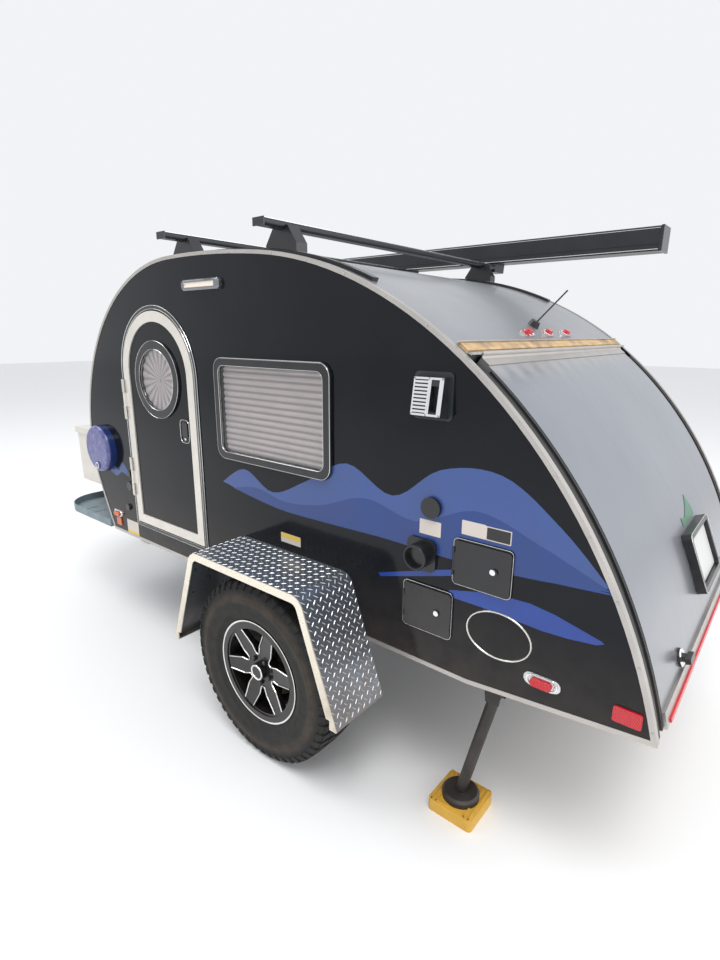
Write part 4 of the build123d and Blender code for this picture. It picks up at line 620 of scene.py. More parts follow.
def grown(tree, **values):
    """Plain mesh that a tree makes with these named inputs."""
    holder = raw_piece("holder", [], [])
    modifier = holder.modifiers.new("grow", "NODES")
    modifier.node_group = tree
    for item in tree.interface.items_tree:
        if item.name in values:
            modifier[item.identifier] = values[item.name]
    bpy.context.view_layer.update()
    mesh = bpy.data.meshes.new_from_object(holder.evaluated_get(bpy.context.evaluated_depsgraph_get()))
    bpy.data.objects.remove(holder)
    return mesh


def merged(name, meshes, shift, finish, body, *replaced):
    """Several meshes joined, moved into place and made one piece."""
    made = bmesh.new()
    for mesh in meshes:
        made.from_mesh(mesh)
    for vertex in made.verts:
        vertex.co += Vector(shift)
    mesh = bpy.data.meshes.new(name)
    made.to_mesh(mesh)
    made.free()
    return dressed(linked(name, mesh), finish, body, *replaced)


centre_lug = tyre_lug("centre_lug", [(-0.0175, -0.018), (0.004, -0.021), (0.0175, -0.006),
                                     (0.016, 0.019), (-0.004, 0.017), (-0.016, 0.004)], -0.013)
shoulder_lug = tyre_lug("shoulder_lug", [(-0.0175, -0.02), (0.014, -0.022), (0.0175, 0.019),
                                         (-0.013, 0.022)], -0.02)
side_lug = tyre_lug("side_lug", [(-0.015, -0.012), (0.014, -0.012), (0.011, 0.014), (-0.011, 0.014)], -0.008)
TREAD_ROWS = [
    # block, radius, across, turn, lean, skew
    (centre_lug, 0.3615, 0.021, 0.0, 0.0, 0.3),
    (centre_lug, 0.3615, -0.021, 0.5, 0.0, 3.44),
    (shoulder_lug, 0.3590, 0.064, 0.25, -0.10, 0.12),
    (shoulder_lug, 0.3590, -0.064, 0.75, -0.10, 3.26),
    (side_lug, 0.3440, 0.0915, 0.25, -1.05, 0.0),
    (side_lug, 0.3440, -0.0915, 0.75, 1.05, 0.0),
]
CARCASS = [
    # radius, across
    (0.1935, 0.066), (0.1935, 0.0775), (0.207, 0.0785), (0.215, 0.084), (0.23, 0.091),
    (0.232, 0.0928), (0.24, 0.094), (0.242, 0.0935), (0.268, 0.0985), (0.285, 0.099),
    (0.2875, 0.1005), (0.295, 0.1), (0.298, 0.0975), (0.32, 0.0945), (0.342, 0.0885),
    (0.352, 0.076), (0.354, 0.04),
]
for side, flip in SIDES:
    rows = [(r, y) for r, y in CARCASS] + [(r, -y) for r, y in CARCASS[::-1]]
    rows += [(0.334, -0.074), (0.336, 0), (0.334, 0.074)]
    hub, wheel = (AXLE_X, flip * TRACK_Y, WHEEL_Z), "wheel_" + side
    carcass = lathe("tyre_carcass_" + side, rows, hub, (0, 1, 0), tyre_rubber, wheel, steps=96)
    carcass.data.shade_smooth()
    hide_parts("tyre_" + side)
    blocks = [grown(around, Block=block, Count=LUGS, Radius=radius, Across=across, Turn=turn,
                    Lean=lean, Skew=skew, Finish=tyre_rubber.made)
              for block, radius, across, turn, lean, skew in TREAD_ROWS]
    merged("tyre_tread_" + side, blocks, hub, tyre_rubber, wheel, "tyre_" + side)
for block in (centre_lug, shoulder_lug, side_lug):
    bpy.data.objects.remove(block)

# One copy of a block at each point of a mesh, turned as its points say.
copied, (places, block, finish) = new_tree("copies_at_places", Places="Object", Block="Object",
                                           Finish="Material")
turn = block.join("GeometryNodeInputNamedAttribute", "turn", data_type="FLOAT_VECTOR")
finished(block.join("GeometryNodeInstanceOnPoints", shape_of(places), None, shape_of(block), None, None,
                    turn), finish)


def scatter(name, block, rows, finish, body="trailer"):
    """Copies of a block at (point, outward direction, direction of its length)."""
    holder = raw_piece("places", [tuple(point) for point, out, along in rows], [])
    turns = holder.data.attributes.new("turn", "FLOAT_VECTOR", "POINT")
    for i, (point, out, along) in enumerate(rows):
        up = Vector(out).normalized()
        length = (Vector(along) - up * up.dot(Vector(along))).normalized()
        turns.data[i].vector = Matrix((length, up.cross(length), up)).transposed().to_euler()
    made = grown(copied, Places=holder, Block=block, Finish=finish.made)
    bpy.data.objects.remove(holder)
    return merged(name, [made], (0, 0, 0), finish, body)


def prism(name, sides, radius, rise, crown=0.7):
    """Block for copies: a head with this many sides, slightly sunk, that narrows to its crown."""
    rows = [(radius, -0.0005), (radius, rise * 0.6), (radius * crown, rise)]
    return capped(name, [[(r * cos(turn), r * sin(turn), h) for turn in circle(sides)] for r, h in rows])


nut_block = prism("nut_block", 6, 0.0095, 0.011)
WINDOW_HALF = [
    # out from the middle, across, height of the rim's face
    (0.1582, 0.0623, 0.0769), (0.129, 0.041, 0.0723), (0.1, 0.02, 0.0682), (0.086, 0.0152, 0.0668),
    (0.074, 0.011, 0.0653), (0.0683, 0.0072, 0.0646), (0.066, 0, 0.0644),
]
WINDOW_EDGE = [(out, -across, rise) for out, across, rise in WINDOW_HALF] + WINDOW_HALF[-2::-1]
FIRST_SPOKE, FIRST_NUT = 21, 51
NUT_CIRCLE, NUT_OUT = 0.05, 0.064
for side, flip in SIDES:
    hub, wheel = (AXLE_X, flip * TRACK_Y, WHEEL_Z), "wheel_" + side
    lathe("rim_edge_" + side, [(0.2, 0.083), (0.2035, 0.0848), (0.2062, 0.084), (0.2062, 0.0832)], hub,
          (0, flip, 0), machined, wheel, steps=72)
    for spoke in range(6):
        turn = radians(FIRST_SPOKE + 60 * spoke)
        path = [(hub[0] + out * cos(turn) - across * sin(turn), flip * (TRACK_Y + rise + 0.0012),
                 hub[2] + out * sin(turn) + across * cos(turn)) for out, across, rise in WINDOW_EDGE]
        wire(f"rim_line_{side}_{spoke}", path, 0.0024, machined, wheel)
    lathe("rim_cap_ring_" + side, [(0.024, 0.0848), (0.025, 0.0868), (0.03, 0.0868), (0.031, 0.0848)],
          hub, (0, flip, 0), machined, wheel, steps=40)
    turns = [radians(FIRST_NUT + 72 * i) for i in range(5)]
    nuts = [((hub[0] + NUT_CIRCLE * cos(turn), flip * (TRACK_Y + NUT_OUT), hub[2] + NUT_CIRCLE * sin(turn)),
             (0, flip, 0), (1, 0, 0)) for turn in turns]
    scatter("lug_nuts_" + side, nut_block, nuts, rim_paint, wheel)
bpy.data.objects.remove(nut_block)

# Fenders
# Folded aluminium tread plate, screwed to the wall, with a folded lip round its front that is painted bright
# as a painted highlight.
# Small raised bars stand on it in rows that lean to one side and the other by turns.
plate_metal = Finish("tread_plate", 0.3, 0.7)
FENDER_OUT = 0.25
LIP = 0.0045
fender_y = plate_metal.y.away()
# Painted highlight: a bright band along the fold of the lip.
lip_highlight = fender_y.above(BODY_HALF + FENDER_OUT - LIP, 0.0004)
cloud = noise(plate_metal.place, 14, 4)
mud = (0.62 - plate_metal.z).above(0.08, 0.2) * noise(plate_metal.place, 18, 5).above(0.45, 0.2) * 0.55
dull = tint(cloud.above(0.5, 0.3), (0.24, 0.27, 0.31), (0.17, 0.19, 0.22))
plate_metal.paint(mud, tint(lip_highlight, dull, (0.86, 0.8, 0.68)), (0.34, 0.25, 0.18))
plate_metal.set("Roughness", cloud * 0.22 + mud * 0.3 + 0.16)
dress(plate_metal, "fenders")
bar_metal = Finish("tread_bars", 0.32, 0.85)
bar_metal.worn((0.56, 0.59, 0.63), (0.44, 0.46, 0.5), 0.12, 20, 300, 0, 0.4)
FENDER_BEND = 58
FOOT_X, FOOT_Z, TOP_X, TOP_Z = 450, 366, 296, 790
leg_turn = atan2(TOP_Z - FOOT_Z, FOOT_X - TOP_X)
tangent = FENDER_BEND * tan(leg_turn / 2)
leg_run = hypot(TOP_Z - FOOT_Z, FOOT_X - TOP_X) - tangent
bend_run = FENDER_BEND * leg_turn
fender_run = 2 * leg_run + 2 * bend_run + 2 * (TOP_X - tangent)


def fender_at(run):
    """Point (x, z) and heading on the plate's outside, this far up from its front foot."""
    if run > fender_run / 2:
        (x, z), heading = fender_at(fender_run - run)
        return (-x, z), 2 * pi - heading
    leg = min(run, leg_run)
    x, z = FOOT_X - leg * cos(leg_turn), FOOT_Z + leg * sin(leg_turn)
    if run < leg_run:
        return (x, z), pi - leg_turn
    x, z = x - FENDER_BEND * sin(leg_turn), z - FENDER_BEND * cos(leg_turn)
    heading = pi - leg_turn + min((run - leg_run) / FENDER_BEND, leg_turn)
    x, z = x + FENDER_BEND * sin(heading), z - FENDER_BEND * cos(heading)
    return (x - max(run - leg_run - bend_run, 0), z), heading


BAR_LONG, BAR_WIDE, BAR_RISE, BAR_SINK = 0.0118, 0.0024, 0.0017, -0.0004
BAR_PITCH = 15.4
foot = [(-1, 0), (-0.4, -1), (0.4, -1), (1, 0), (0.4, 1), (-0.4, 1)]
bar_block = raw_piece("bar_block", [(a * BAR_LONG, b * BAR_WIDE, BAR_SINK) for a, b in foot]
                      + [(-0.55 * BAR_LONG, 0, BAR_RISE), (0.55 * BAR_LONG, 0, BAR_RISE)],
                      [(5, 4, 3, 2, 1, 0), (0, 1, 6), (1, 2, 7, 6), (2, 3, 7), (3, 4, 7), (4, 5, 6, 7),
                       (5, 0, 6)])
for side, flip in SIDES:
    rows = []
    for i in range(int(fender_run / BAR_PITCH)):
        (x, z), heading = fender_at((i + 0.7) * BAR_PITCH)
        out = (sin(heading), 0, -cos(heading))
        along = Vector((cos(heading), -1 if i % 2 else 1, sin(heading)))
        for k in range(i % 2, int(FENDER_OUT * 1000 / BAR_PITCH), 2):
            point = (AXLE_X + x / 1000, flip * (BODY_HALF + (k + 0.5) * BAR_PITCH / 1000), z / 1000)
            rows.append((point, out, along))
    scatter("fender_bars_" + side, bar_block, rows, bar_metal)
bpy.data.objects.remove(bar_block)

# Labels and badge
# Small printed films on the walls, blank here, and the empty oval badge near the rear lamp.
paper = Finish("blank_label", 0.35, 0, (0.6, 0.54, 0.49)).patchy(90, 0.2)
dark_label = Finish("dark_label", 0.3, 0, (0.02, 0.02, 0.022)).patchy(90, 0.2)
yellow_label = Finish("yellow_label", 0.3, 0, (0.72, 0.5, 0.08)).patchy(90, 0.2)
LABELS = [
    # name, middle along, middle up, wide, high, finish
    ("over_inlet", -613, 1031, 75, 47, paper),
    ("over_door_a", -757, 1060, 76, 43, paper),
    ("beside_door_a", -833, 1059, 76, 41, paper),
    ("beside_door_a_field", -833, 1059, 70, 35, dark_label),
    ("over_fender", -3, 841, 106, 38, paper),
    ("over_fender_field", -3, 850, 104, 18, yellow_label),
    ("by_front_lamp", 1188, 618, 112, 58, paper),
    ("by_front_lamp_foot", 1188, 580, 112, 18, yellow_label),
]
left_wall = wall_place(1)
for name, along, up, wide, high, finish in LABELS:
    lift = 1 if name.endswith("field") else 0.7
    flat_piece("label_" + name, [rounded(along, up, wide, high, 2, 2)], left_wall, lift, FILM, finish)
BADGE_X, BADGE_Z, BADGE_WIDE, BADGE_HIGH = -854, 757, 198, 144
oval = [(BADGE_X + BADGE_WIDE / 2 * cos(turn), BADGE_Z + BADGE_HIGH / 2 * sin(turn))
        for turn in circle(48)]
outline("badge_ring", oval, left_wall, 1.2, 0.0026, badge_edge)

# Lamps
# Ribbed red and amber lenses on small chrome bases at the corners, and three on the roof.
# A red reflector lies flat by the rear edge, and a red lamp bar runs under the hatch.
SKIN = [(4100, 3.9), (513, 21), (879, 89.5), (4100, 7.9), (1578, 32.2), (1691, 37.8)]


def over_skin(arc, run, y, lift):
    """Point over the body's outline, this far along one of its arcs, and the way out of it."""
    x, z, heading = 1381, 560, radians(64)
    for radius, turn in SKIN[:arc]:
        x, z = x - radius * sin(heading), z + radius * cos(heading)
        heading += radians(turn)
        x, z = x + radius * sin(heading), z - radius * cos(heading)
    radius = SKIN[arc][0]
    x, z = x - radius * sin(heading), z + radius * cos(heading)
    heading += run / radius
    out = Vector((sin(heading), 0, -cos(heading)))
    return Vector((AXLE_X + x / 1000, y / 1000, z / 1000)) + out * ((radius + lift) / 1000), out


ROOF_ARC, HATCH_ARC = 4, 5
LAMP_RUN = SKIN[ROOF_ARC][0] * radians(SKIN[ROOF_ARC][1]) - 98
BASE_DEEP, AMBER_FOOT, REFLECTOR_X, CORNER_TOP = 0.0058, 0.64, AXLE_X - 1.16, 1
for name, colour, target in (("amber_lens", (0.8, 0.13, 0.01), "front_lamps"),
                             ("red_lens", (0.66, 0.008, 0.02), "rear_lamps")):
    lens = Finish(name, 0.12, 0, Coat_Weight=0.4)
    ridges = (lens.x + lens.z * 0.3).wave(0.005)
    lens.bump(ridges, 0.001)
    proud = lens.y.away().above(BODY_HALF + BASE_DEEP, 0.0004)
    if name == "amber_lens":
        proud = (proud + (AMBER_FOOT - lens.z).above(0)).above(0.5)
    else:
        flat = (REFLECTOR_X - lens.x).above(0, 0.001)
        roof_point, roof_out = over_skin(ROOF_ARC, LAMP_RUN, 0, 6.6)
        over_roof = lens.x * roof_out.x + lens.z * roof_out.z - roof_point.dot(roof_out)
        at_corner = proud * (CORNER_TOP - lens.z).above(0)
        proud = (at_corner + flat + over_roof.above(0, 0.0004)).above(0.5)
    lens.paint(proud, (0.7, 0.7, 0.7), tint(ridges, tuple(0.62 * c for c in colour), colour))
    lens.set("Metallic", (1 - proud) * 0.9)
    dress(lens, target)
bar_red = Finish("red_bar", 0.2, 0, (0.62, 0.01, 0.02))
bar_red.set("Roughness", bar_red.y.wave(0.02) * 0.12 + 0.12)
dress(bar_red, "hatch_light_bar")
chrome = Finish("chrome_face", 0.06, 0.95, (0.8, 0.81, 0.83)).patchy(30, 0.1)
for side, flip in SIDES:
    for name, along, up, wide, high in (("rear", -993, 667, 84, 32), ("front", 1322, 662, 66, 28)):
        rows = rounded(along, up, wide, high, high / 2 - 0.1, 8)
        outline(f"{name}_bezel_{side}", rows, wall_place(flip), 5.5, 0.0035, chrome, sides=8)
for number, y in enumerate((180, 0, -185)):
    point, out = over_skin(ROOF_ARC, LAMP_RUN, y, 6)
    back = Vector((out.z, 0, -out.x))
    outline(f"roof_lamp_ring_{number}", rounded(0, 0, 50, 32, 15.9, 8),
            lambda a, b, lift: tuple(point + Vector((0, a / 1000, 0)) + back * (b / 1000) + out * lift),
            0.0014, 0.0026, chrome, sides=8)

# Trim screws
# Small domed screws, one about every hand, hold both edge trims to the edges of the walls.
screw_block = prism("screw_block", 8, 0.0042, 0.0016, 0.5)
FIRST_SCREW, SCREW_STEP, LAST_GAP = 60, 170, 20
TRIM_OUT, TRIM_MIDDLE = 782.8, -5
for side, flip in SIDES:
    rows = []
    for arc, (radius, turn) in enumerate(SKIN):
        run = FIRST_SCREW
        while run < radius * radians(turn) - LAST_GAP:
            rows.append((over_skin(arc, run, flip * TRIM_OUT, TRIM_MIDDLE)[0], (0, flip, 0), (1, 0, 0)))
            run += SCREW_STEP
    scatter("trim_screws_" + side, screw_block, rows, satin)

# Range vent
# A black moulded hood with a bright face: a stack of slats in front and one upright slot.
hood = Finish("vent_hood", 0.42)
hood.worn((0.012, 0.015, 0.018), (0.022, 0.026, 0.03), 0.12, 20, 300, 0.0002, 0.2)
dress(hood, "range_vent")
BOX_FACES = ((0, 3, 2, 1), (4, 5, 6, 7), (0, 1, 5, 4), (1, 2, 6, 5), (2, 3, 7, 6), (3, 0, 4, 7))


def boxes(name, rows, finish, place=lambda a, b, c: (a, b, c)):
    """Plain boxes in one piece, each from its two ends along, up and out."""
    points, faces = [], []
    for a0, a1, b0, b1, c0, c1 in rows:
        start = len(points)
        points += [place(a, b, c) for c in (c0, c1) for a, b in ((a0, b0), (a1, b0), (a1, b1), (a0, b1))]
        faces += [tuple(start + i for i in face) for face in BOX_FACES]
    return add_piece(name, points, faces, finish)


VENT_Z, VENT_OUT, VENT_RISE, VENT_LEAN = 1374, 44, 106, 17


def vent_place(along, up, out):
    """On the sloping face of the hood: along the wall, up the face, out of it."""
    face = VENT_OUT - VENT_LEAN * (up / VENT_RISE)
    return left_wall(along, VENT_Z + up + out * (VENT_LEAN / VENT_RISE), face + out)


VENT_BARS = [
    # along, up and out of the face, each from and to
    (-656, -558, 0, 6, 0.4, 3), (-656, -558, 100, 106, 0.4, 3), (-656, -648, 0, 106, 0.4, 3),
    (-563, -558, 0, 106, 0.4, 3), (-611, -606, 0, 106, 0.4, 3), (-648, -642, 0, 106, 0.2, 2),
    (-616, -610, 0, 106, 0.2, 2),
]
slats = [(-606, -563, 9 + 10.2 * i, 15 + 10.2 * i, 0.4, 4.2 if i % 2 else 3.2) for i in range(9)]
boxes("vent_face", VENT_BARS + slats, chrome, vent_place)

# Porch lights
# Shallow chrome-edged housings with a warm lens in the middle.
porch = Finish("porch_light", 0.2, Coat_Weight=0.3)
PORCH_X, PORCH_Z, HALF_LONG, HALF_HIGH = AXLE_X + 0.45, 1.776, 0.094, 0.009
along, up = (porch.x - PORCH_X).away(), (porch.z - PORCH_Z).away()
in_lens = (HALF_LONG - along).above(0, 0.001) * (HALF_HIGH - up).above(0, 0.001)
porch.paint(in_lens, (0.22, 0.23, 0.25), tint(porch.x.wave(0.008), (0.8, 0.66, 0.52), (0.92, 0.86, 0.78)))
porch.set("Metallic", (1 - in_lens) * 0.8)
dress(porch, "porch_lights")

# Round cover and wall sockets
# A blue cap of unclear use with a mottled face, and the black power inlet with its side caps.
blue = Finish("blue_cover", 0.2, Coat_Weight=0.3)
POD_FACE = BODY_HALF + 0.0345
facing = blue.y.above(POD_FACE, 0.004)
mottle = noise(blue.place, 34, 5, 0.7)
mottled = tint(mottle.above(0.52, 0.16), (0.045, 0.055, 0.2), (0.16, 0.15, 0.36))
blue.paint(facing, (0.01, 0.028, 0.13), mottled)
blue.set("Roughness", mottle * 0.25 + 0.12)
blue.bump(mottle, 0.0006)
dress(blue, "round_pod")
lathe("pod_rim", [(0.109, 0.0405), (0.1125, 0.044), (0.116, 0.0405), (0.1125, 0.037)],
      left_wall(1398, 1008, 0), (0, 1, 0), blue, steps=64)
# A small bright ring low on the pod's face is a painted highlight on a small round cap.
lathe("pod_bolt_ring", [(0.012, 0.0515), (0.0135, 0.053), (0.0165, 0.053), (0.0175, 0.0515)],
      left_wall(1398, 921, 0), (0, 1, 0), bright_metal_and_highlight, steps=28)
lathe("inlet_ring", [(0.0335, 0.044), (0.0345, 0.0465), (0.0385, 0.0465), (0.0398, 0.044)],
      left_wall(-588, 941, 0), (0, 1, 0), moulded, steps=40)
SMALL_DOORS = [
    # name, middle along, middle up, wide, high, lock along
    ("a", -791, 952, 187, 148, -828),
    ("b", -615, 763, 180, 161, -653),
]
for name, x, z, wide, high, lock_x in SMALL_DOORS:
    lathe("lock_face_" + name, [(0.0001, 0.0156), (0.0075, 0.0156), (0.009, 0.0145), (0.0001, 0.0145)],
          left_wall(lock_x, z, 0), (0, 1, 0), chrome, "access_door_" + name, steps=24)
# Bright lines round the frames of the small doors are painted highlights along their edges.
for name, x, z, wide, high, lock_x in SMALL_DOORS:
    rim = rounded(x, z, wide - 3, high - 3, 14.5)
    outline("small_frame_line_" + name, rim, left_wall, 4.6, 0.0009, bright_metal_and_highlight)

# Plate holder and latches
# A black moulded holder with a blank white plate, a plain green film stuck to the hatch just above
# it, and two black latch knobs on bright bezels.
plate_white = Finish("blank_plate", 0.3, 0, (0.62, 0.62, 0.605)).patchy(30, 0.2, 4)
plate_middle, plate_out = over_skin(HATCH_ARC, 877, -75, 12.5)
plate_up = Vector((-plate_out.z, 0, plate_out.x))


def plate_place(along, up, out):
    """On the flat of the plate holder, from its middle, in millimetres."""
    aside = Vector((0, along / 1000, 0))
    return tuple(plate_middle + aside + plate_up * (up / 1000) + plate_out * (out / 1000))


flat_piece("blank_plate", [rounded(0, 0, 276, 164, 10)], plate_place, 0.3, 1.2, plate_white, "hatch")
outline("plate_holder_line", rounded(0, 0, 320, 208, 24), plate_place, 15.6, 0.0012, bright_metal_and_highlight, "hatch")
green_film = Finish("green_film", 0.3, 0, (0.07, 0.2, 0.12)).patchy(70, 0.2)
flat_piece("hatch_sticker", [[(-189, 760), (-189, 735), (-168, 702), (-151, 672), (-130, 694), (-100, 714),
                              (-50, 738), (3, 728), (3, 760)]],
           lambda y, run, out: tuple(over_skin(HATCH_ARC, run, y, out)[0]), 0.9, FILM, green_film, "hatch")
for number, y in enumerate((440, -440)):
    point, out = over_skin(HATCH_ARC, 1036, y, 0)
    lathe(f"latch_bezel_{number}", [(0.014, 0.0072), (0.015, 0.01), (0.024, 0.0095), (0.0275, 0.0072)],
          point, out, chrome, "hatch", steps=36)

# Rack and awning
# Black bars stand on four moulded feet and hold a long black awning case; thin bright lines along the bars
# and two along the case are painted highlights on their edges.
awning_black = Finish("awning_case_black", 0.32, 0.3)
awning_black.worn((0.014, 0.016, 0.02), (0.026, 0.028, 0.033), 0.14, 6, 300, 0, 0.3)
dress(awning_black, "awning_case", "crossbars")
case_low, case_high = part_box("awning_case")
# Lines 0 and 2 are bright: painted highlights along the case's edges; the others are black.
for number, (y, z) in enumerate(((case_high[1], case_high[2] - 0.01), (case_high[1], case_low[2] + 0.03),
                                 (case_high[1], case_low[2] + 0.008), (case_low[1], case_low[2] + 0.02),
                                 (case_low[1], case_high[2] - 0.03), (case_high[1] - 0.03, case_high[2]))):
    wire(f"awning_line_{number}", [(case_low[0] + 0.004, y, z), (case_high[0] - 0.004, y, z)], 0.0018,
         bright_metal_and_highlight if number in (0, 2) else awning_black)
CAP_LONG, CAP_LIP = 0.012, 0.002
for number, (x, long) in enumerate(((case_low[0], -CAP_LONG), (case_high[0], CAP_LONG))):
    boxes(f"awning_cap_{number}", [(x, x + long, case_low[1] - CAP_LIP, case_high[1] + CAP_LIP,
                                    case_low[2] - CAP_LIP, case_high[2] + CAP_LIP)], moulded)
BARS = [
    # middle along, middle up
    (50, 1948), (622, 1962),
]
for number, (x, z) in enumerate(BARS):
    # Painted highlights: two bright lines along the top edges of each bar.
    for shift in (-20, 20):
        wire(f"bar_line_{number}_{shift:.0f}", [(AXLE_X + (x + shift) / 1000, y, (z + 11.6) / 1000)
                                                 for y in (0.83, -0.78)], 0.0012, bright_metal_and_highlight)
    boxes(f"bar_cap_{number}", [(x - 27, x + 27, z - 13, z + 13, 0, 5)], moulded,
          lambda a, b, c: (AXLE_X + a / 1000, 0.832 + c / 1000, b / 1000))

# Steelwork under the floor
# Welded square tube in black coating: rails, crossmembers, tongue, axle, coupler and drums.
coated = Finish("black_coated_steel", 0.46, 0.2)
coated.worn((0.01, 0.01, 0.012), (0.02, 0.019, 0.019), 0.18, 14, 240, 0.0003, 0.12)
dress(coated, "chassis", "axle", "coupler", "stabiliser_left", "stabiliser_right")
drum = Finish("brake_drum", 0.62, 0.4)
drum.worn((0.085, 0.055, 0.038), (0.045, 0.035, 0.028), 0.2, 30, 260, 0.0004)
dress(drum, "hub_left", "hub_right")
zinc = Finish("zinc_plate", 0.42, 0.9)
zinc.worn((0.5, 0.5, 0.49), (0.38, 0.38, 0.37), 0.16, 30, 300, 0.0002, 0.4)
dress(zinc, "jack_tube", "jack_leg")

# Levelling blocks
# Moulded yellow plastic squares under the stabiliser feet, ribbed on top, scuffed and dusty.
yellow = Finish("yellow_moulding", 0.52)
yellow.worn((0.78, 0.43, 0.015), (0.6, 0.34, 0.03), 0.2, 24, 400, 0.0003, 0.3)
dress(yellow, "levelling_blocks")
block_low, block_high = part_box("levelling_blocks")
BLOCK, RIB_REACH, RIB_WIDE = 0.165, 0.078, 0.004
foot, top = block_high[2] - 0.001, block_high[2] + 0.005
for side, flip in SIDES:
    x, y = block_low[0] + BLOCK / 2, flip * (block_high[1] - BLOCK / 2)
    ribs = [(x + step - RIB_WIDE / 2, x + step + RIB_WIDE / 2, y - RIB_REACH, y + RIB_REACH, foot, top)
            for step in (-0.07, -0.0525, 0.0525, 0.07)]
    ribs += [(x - RIB_REACH, x + RIB_REACH, y + step, y + step + RIB_WIDE, foot, top)
             for step in (-RIB_REACH, RIB_REACH - RIB_WIDE)]
    boxes("block_ribs_" + side, ribs, yellow)

# Tongue box and tray
# A riveted box of smooth aluminium with a lid, on risers over a grey moulded tray.
box_metal = Finish("box_aluminium", 0.4, 0.5)
box_metal.worn((0.74, 0.71, 0.64), (0.66, 0.63, 0.58), 0.14, 8, 300, 0.0001, 0.3)
dress(box_metal, "tongue_box", "tongue_box_lid")
tray_plastic = Finish("grey_tray", 0.5)
tray_plastic.worn((0.2, 0.27, 0.31), (0.15, 0.21, 0.245), 0.16, 12, 500, 0.0002, 0.3)
dress(tray_plastic, "tongue_tray")
box_low, box_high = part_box("tongue_box")
LEVELS = (box_low[2] + 0.014, box_high[2] - 0.03)
STEP, INSET = 0.085, 0.03
rivets = [((box_high[0], box_low[1] + INSET + i * (box_high[1] - box_low[1] - 2 * INSET) / 13, z),
           (1, 0, 0), (0, 1, 0)) for i in range(14) for z in LEVELS]
rivets += [((box_high[0] - INSET - i * STEP, y, z), (0, flip, 0), (1, 0, 0))
           for i in range(5) for z in LEVELS for y, flip in ((box_high[1], 1), (box_low[1], -1))]
scatter("box_rivets", screw_block, rivets, box_metal)
bpy.data.objects.remove(screw_block)

# Galley and inside
# Varnished plywood bulkhead and counter, drawer fronts, and a quilted foam mattress.
ply = Finish("varnished_ply", 0.42)
ring = noise(ply.place.join("ShaderNodeMapping", ply.place, None, None, (2, 30, 2)), 4, 5)
under = (0.575 - ply.z).above(0, 0.004)
ply.paint(under, tint(ring, (0.42, 0.28, 0.15), (0.58, 0.42, 0.25)), (0.014, 0.014, 0.015))
ply.set("Roughness", ring * 0.15 + under * 0.25 + 0.34)
ply.bump(ring, 0.0003)
dress(ply, "floor", "galley")
galley_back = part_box("galley")[0][0]
front_face = galley_back - 0.014
fronts, knobs = [], []
for flip in (1, -1):
    for low_z, high_z in ((0.665, 0.775), (0.785, 0.905)):
        fronts.append((front_face, galley_back - 0.001, flip * 0.018, flip * 0.715, low_z, high_z))
        knobs.append(((front_face, flip * 0.366, (low_z + high_z) / 2), (-1, 0, 0), (0, 1, 0)))
knob_block = prism("knob_block", 16, 0.013, 0.022, 0.8)
scatter("drawer_knobs", knob_block, knobs, chrome)
bpy.data.objects.remove(knob_block)
cover = Finish("mattress_cover", 0.9)
cover.worn((0.34, 0.34, 0.355), (0.27, 0.27, 0.29), 0.06, 20, 900, 0.0004)
bed_low, bed_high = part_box("mattress")
COLUMNS, ROWS = 60, 48
CROWN, EDGE_ROUND = 0.016, 0.05
TUFTS = (7, 5)


def bed_point(u, v, top):
    """Point on the mattress: sides bulge, the top is crowned between its rows of tufts."""
    wide = [bed_high[i] - bed_low[i] for i in range(3)]
    edge = min(min(u, 1 - u) * wide[0] / EDGE_ROUND, min(v, 1 - v) * wide[1] / EDGE_ROUND, 1)
    puff = abs(sin(pi * u * TUFTS[0])) * abs(sin(pi * v * TUFTS[1]))
    thick = wide[2] / 2
    side = (1 - (1 - edge) ** 2) ** 0.5 * thick * 0.45 + thick * 0.55
    lift = side - CROWN * (1 - puff ** 0.5) * edge if top else -side
    return bed_low[0] + u * wide[0], bed_low[1] + v * wide[1], bed_low[2] + thick + lift


def spread(share):
    """Steps that crowd toward both ends."""
    return 0.5 - 0.5 * cos(pi * share)


columns = [spread(k / COLUMNS) for k in range(COLUMNS + 1)]
rows = [[bed_point(u, spread(i / ROWS), True) for u in columns]
        + [bed_point(u, spread(i / ROWS), False) for u in columns[::-1]] for i in range(ROWS + 1)]
points, faces = strip_mesh(rows, closed_columns=True)
wide = 2 * (COLUMNS + 1)
for i in (0, ROWS):
    for k in range(COLUMNS):
        faces.append((i * wide + k, i * wide + k + 1, i * wide + wide - 2 - k, i * wide + wide - 1 - k))
bed = add_piece("mattress_pad", points, faces, cover, "trailer", "mattress")
bed.data.shade_smooth()
boxes("drawer_fronts", fronts, ply)

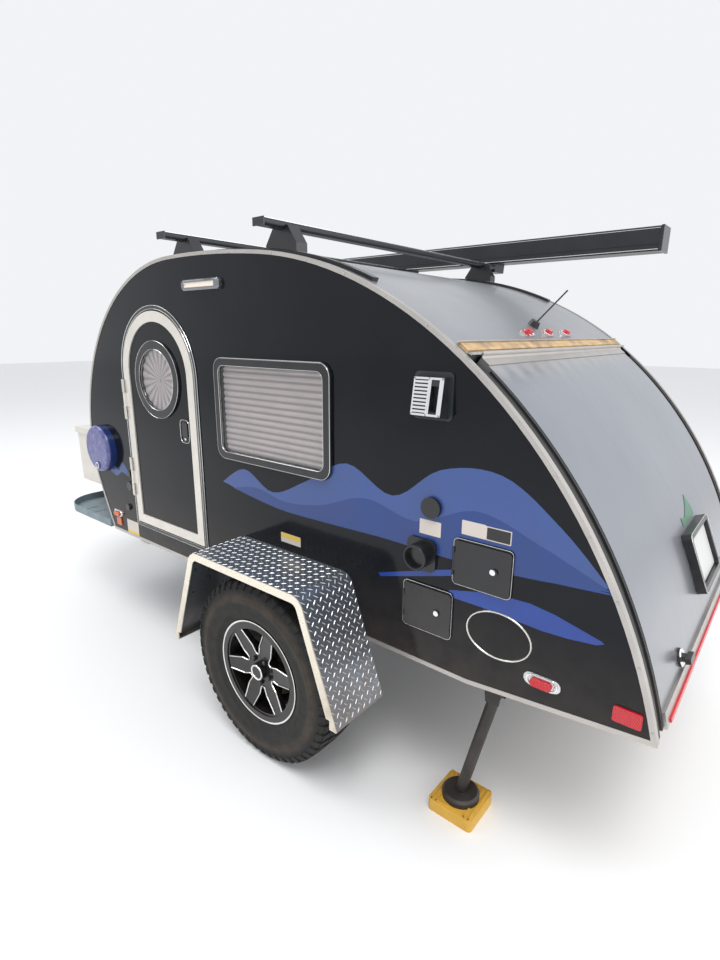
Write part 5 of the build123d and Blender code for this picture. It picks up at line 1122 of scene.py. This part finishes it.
# Floor and light
# A plain pale floor under soft lamps, seen from the photograph's place.
FLOOR_HALF = 30
corners = [(FLOOR_HALF * a, FLOOR_HALF * b, 0) for a, b in ((-1, -1), (1, -1), (1, 1), (-1, 1))]
plane = raw_piece("floor_plane", corners, [(0, 1, 2, 3)])
plane.data.materials.append(Finish("pale_floor", 0.9, 0, (0.84, 0.84, 0.84)).made)
plane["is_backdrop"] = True

AIM = Vector((0, 0, 0.8))
LAMPS = [
    # name, place, size, watts
    ("key", (-3.5, 3.2, 7.5), 3.5, 300),
    ("fill", (-6.5, -3, 4), 5, 140),
    ("front", (5, 3, 7.5), 4, 190),
]
for name, place, size, watts in LAMPS:
    lamp = bpy.data.lights.new(name, "AREA")
    lamp.size = size
    lamp.energy = watts
    holder = linked(name, lamp)
    holder.location = place
    holder.rotation_euler = (AIM - Vector(place)).to_track_quat("-Z", "Y").to_euler()
world = bpy.data.worlds.new("world")
bpy.context.scene.world = world
world.use_nodes = True
sky = world.node_tree.nodes["Background"].inputs
sky["Color"].default_value = (0.93, 0.945, 0.97, 1)
sky["Strength"].default_value = 0.95

EYE = Vector((-2.181, 2.13, 1.598))
YAW, PITCH, ROLL = -0.879, 0.267, 0.004
SENSOR, FOCAL, PICTURE_WIDE = 24, 548, 960
ahead = Vector((cos(YAW) * cos(PITCH), sin(YAW) * cos(PITCH), -sin(PITCH)))
right = ahead.cross(Vector((0, 0, 1))).normalized()
up = right.cross(ahead)
lens_right = right * cos(ROLL) + up * sin(ROLL)
lens_up = up * cos(ROLL) - right * sin(ROLL)
camera = bpy.data.cameras.new("camera")
camera.sensor_fit = "VERTICAL"
camera.sensor_height = SENSOR
camera.lens = SENSOR * FOCAL / PICTURE_WIDE
camera.shift_x = 6.1 / PICTURE_WIDE
camera.shift_y = 2.9 / PICTURE_WIDE
camera.clip_start = 0.02
seat = linked("camera", camera)
turn = Matrix((lens_right, lens_up, -ahead)).transposed()
seat.matrix_world = Matrix.Translation(EYE) @ turn.to_4x4()
bpy.context.scene.camera = seat
bpy.context.scene.view_settings.view_transform = "Standard"

low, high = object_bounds()
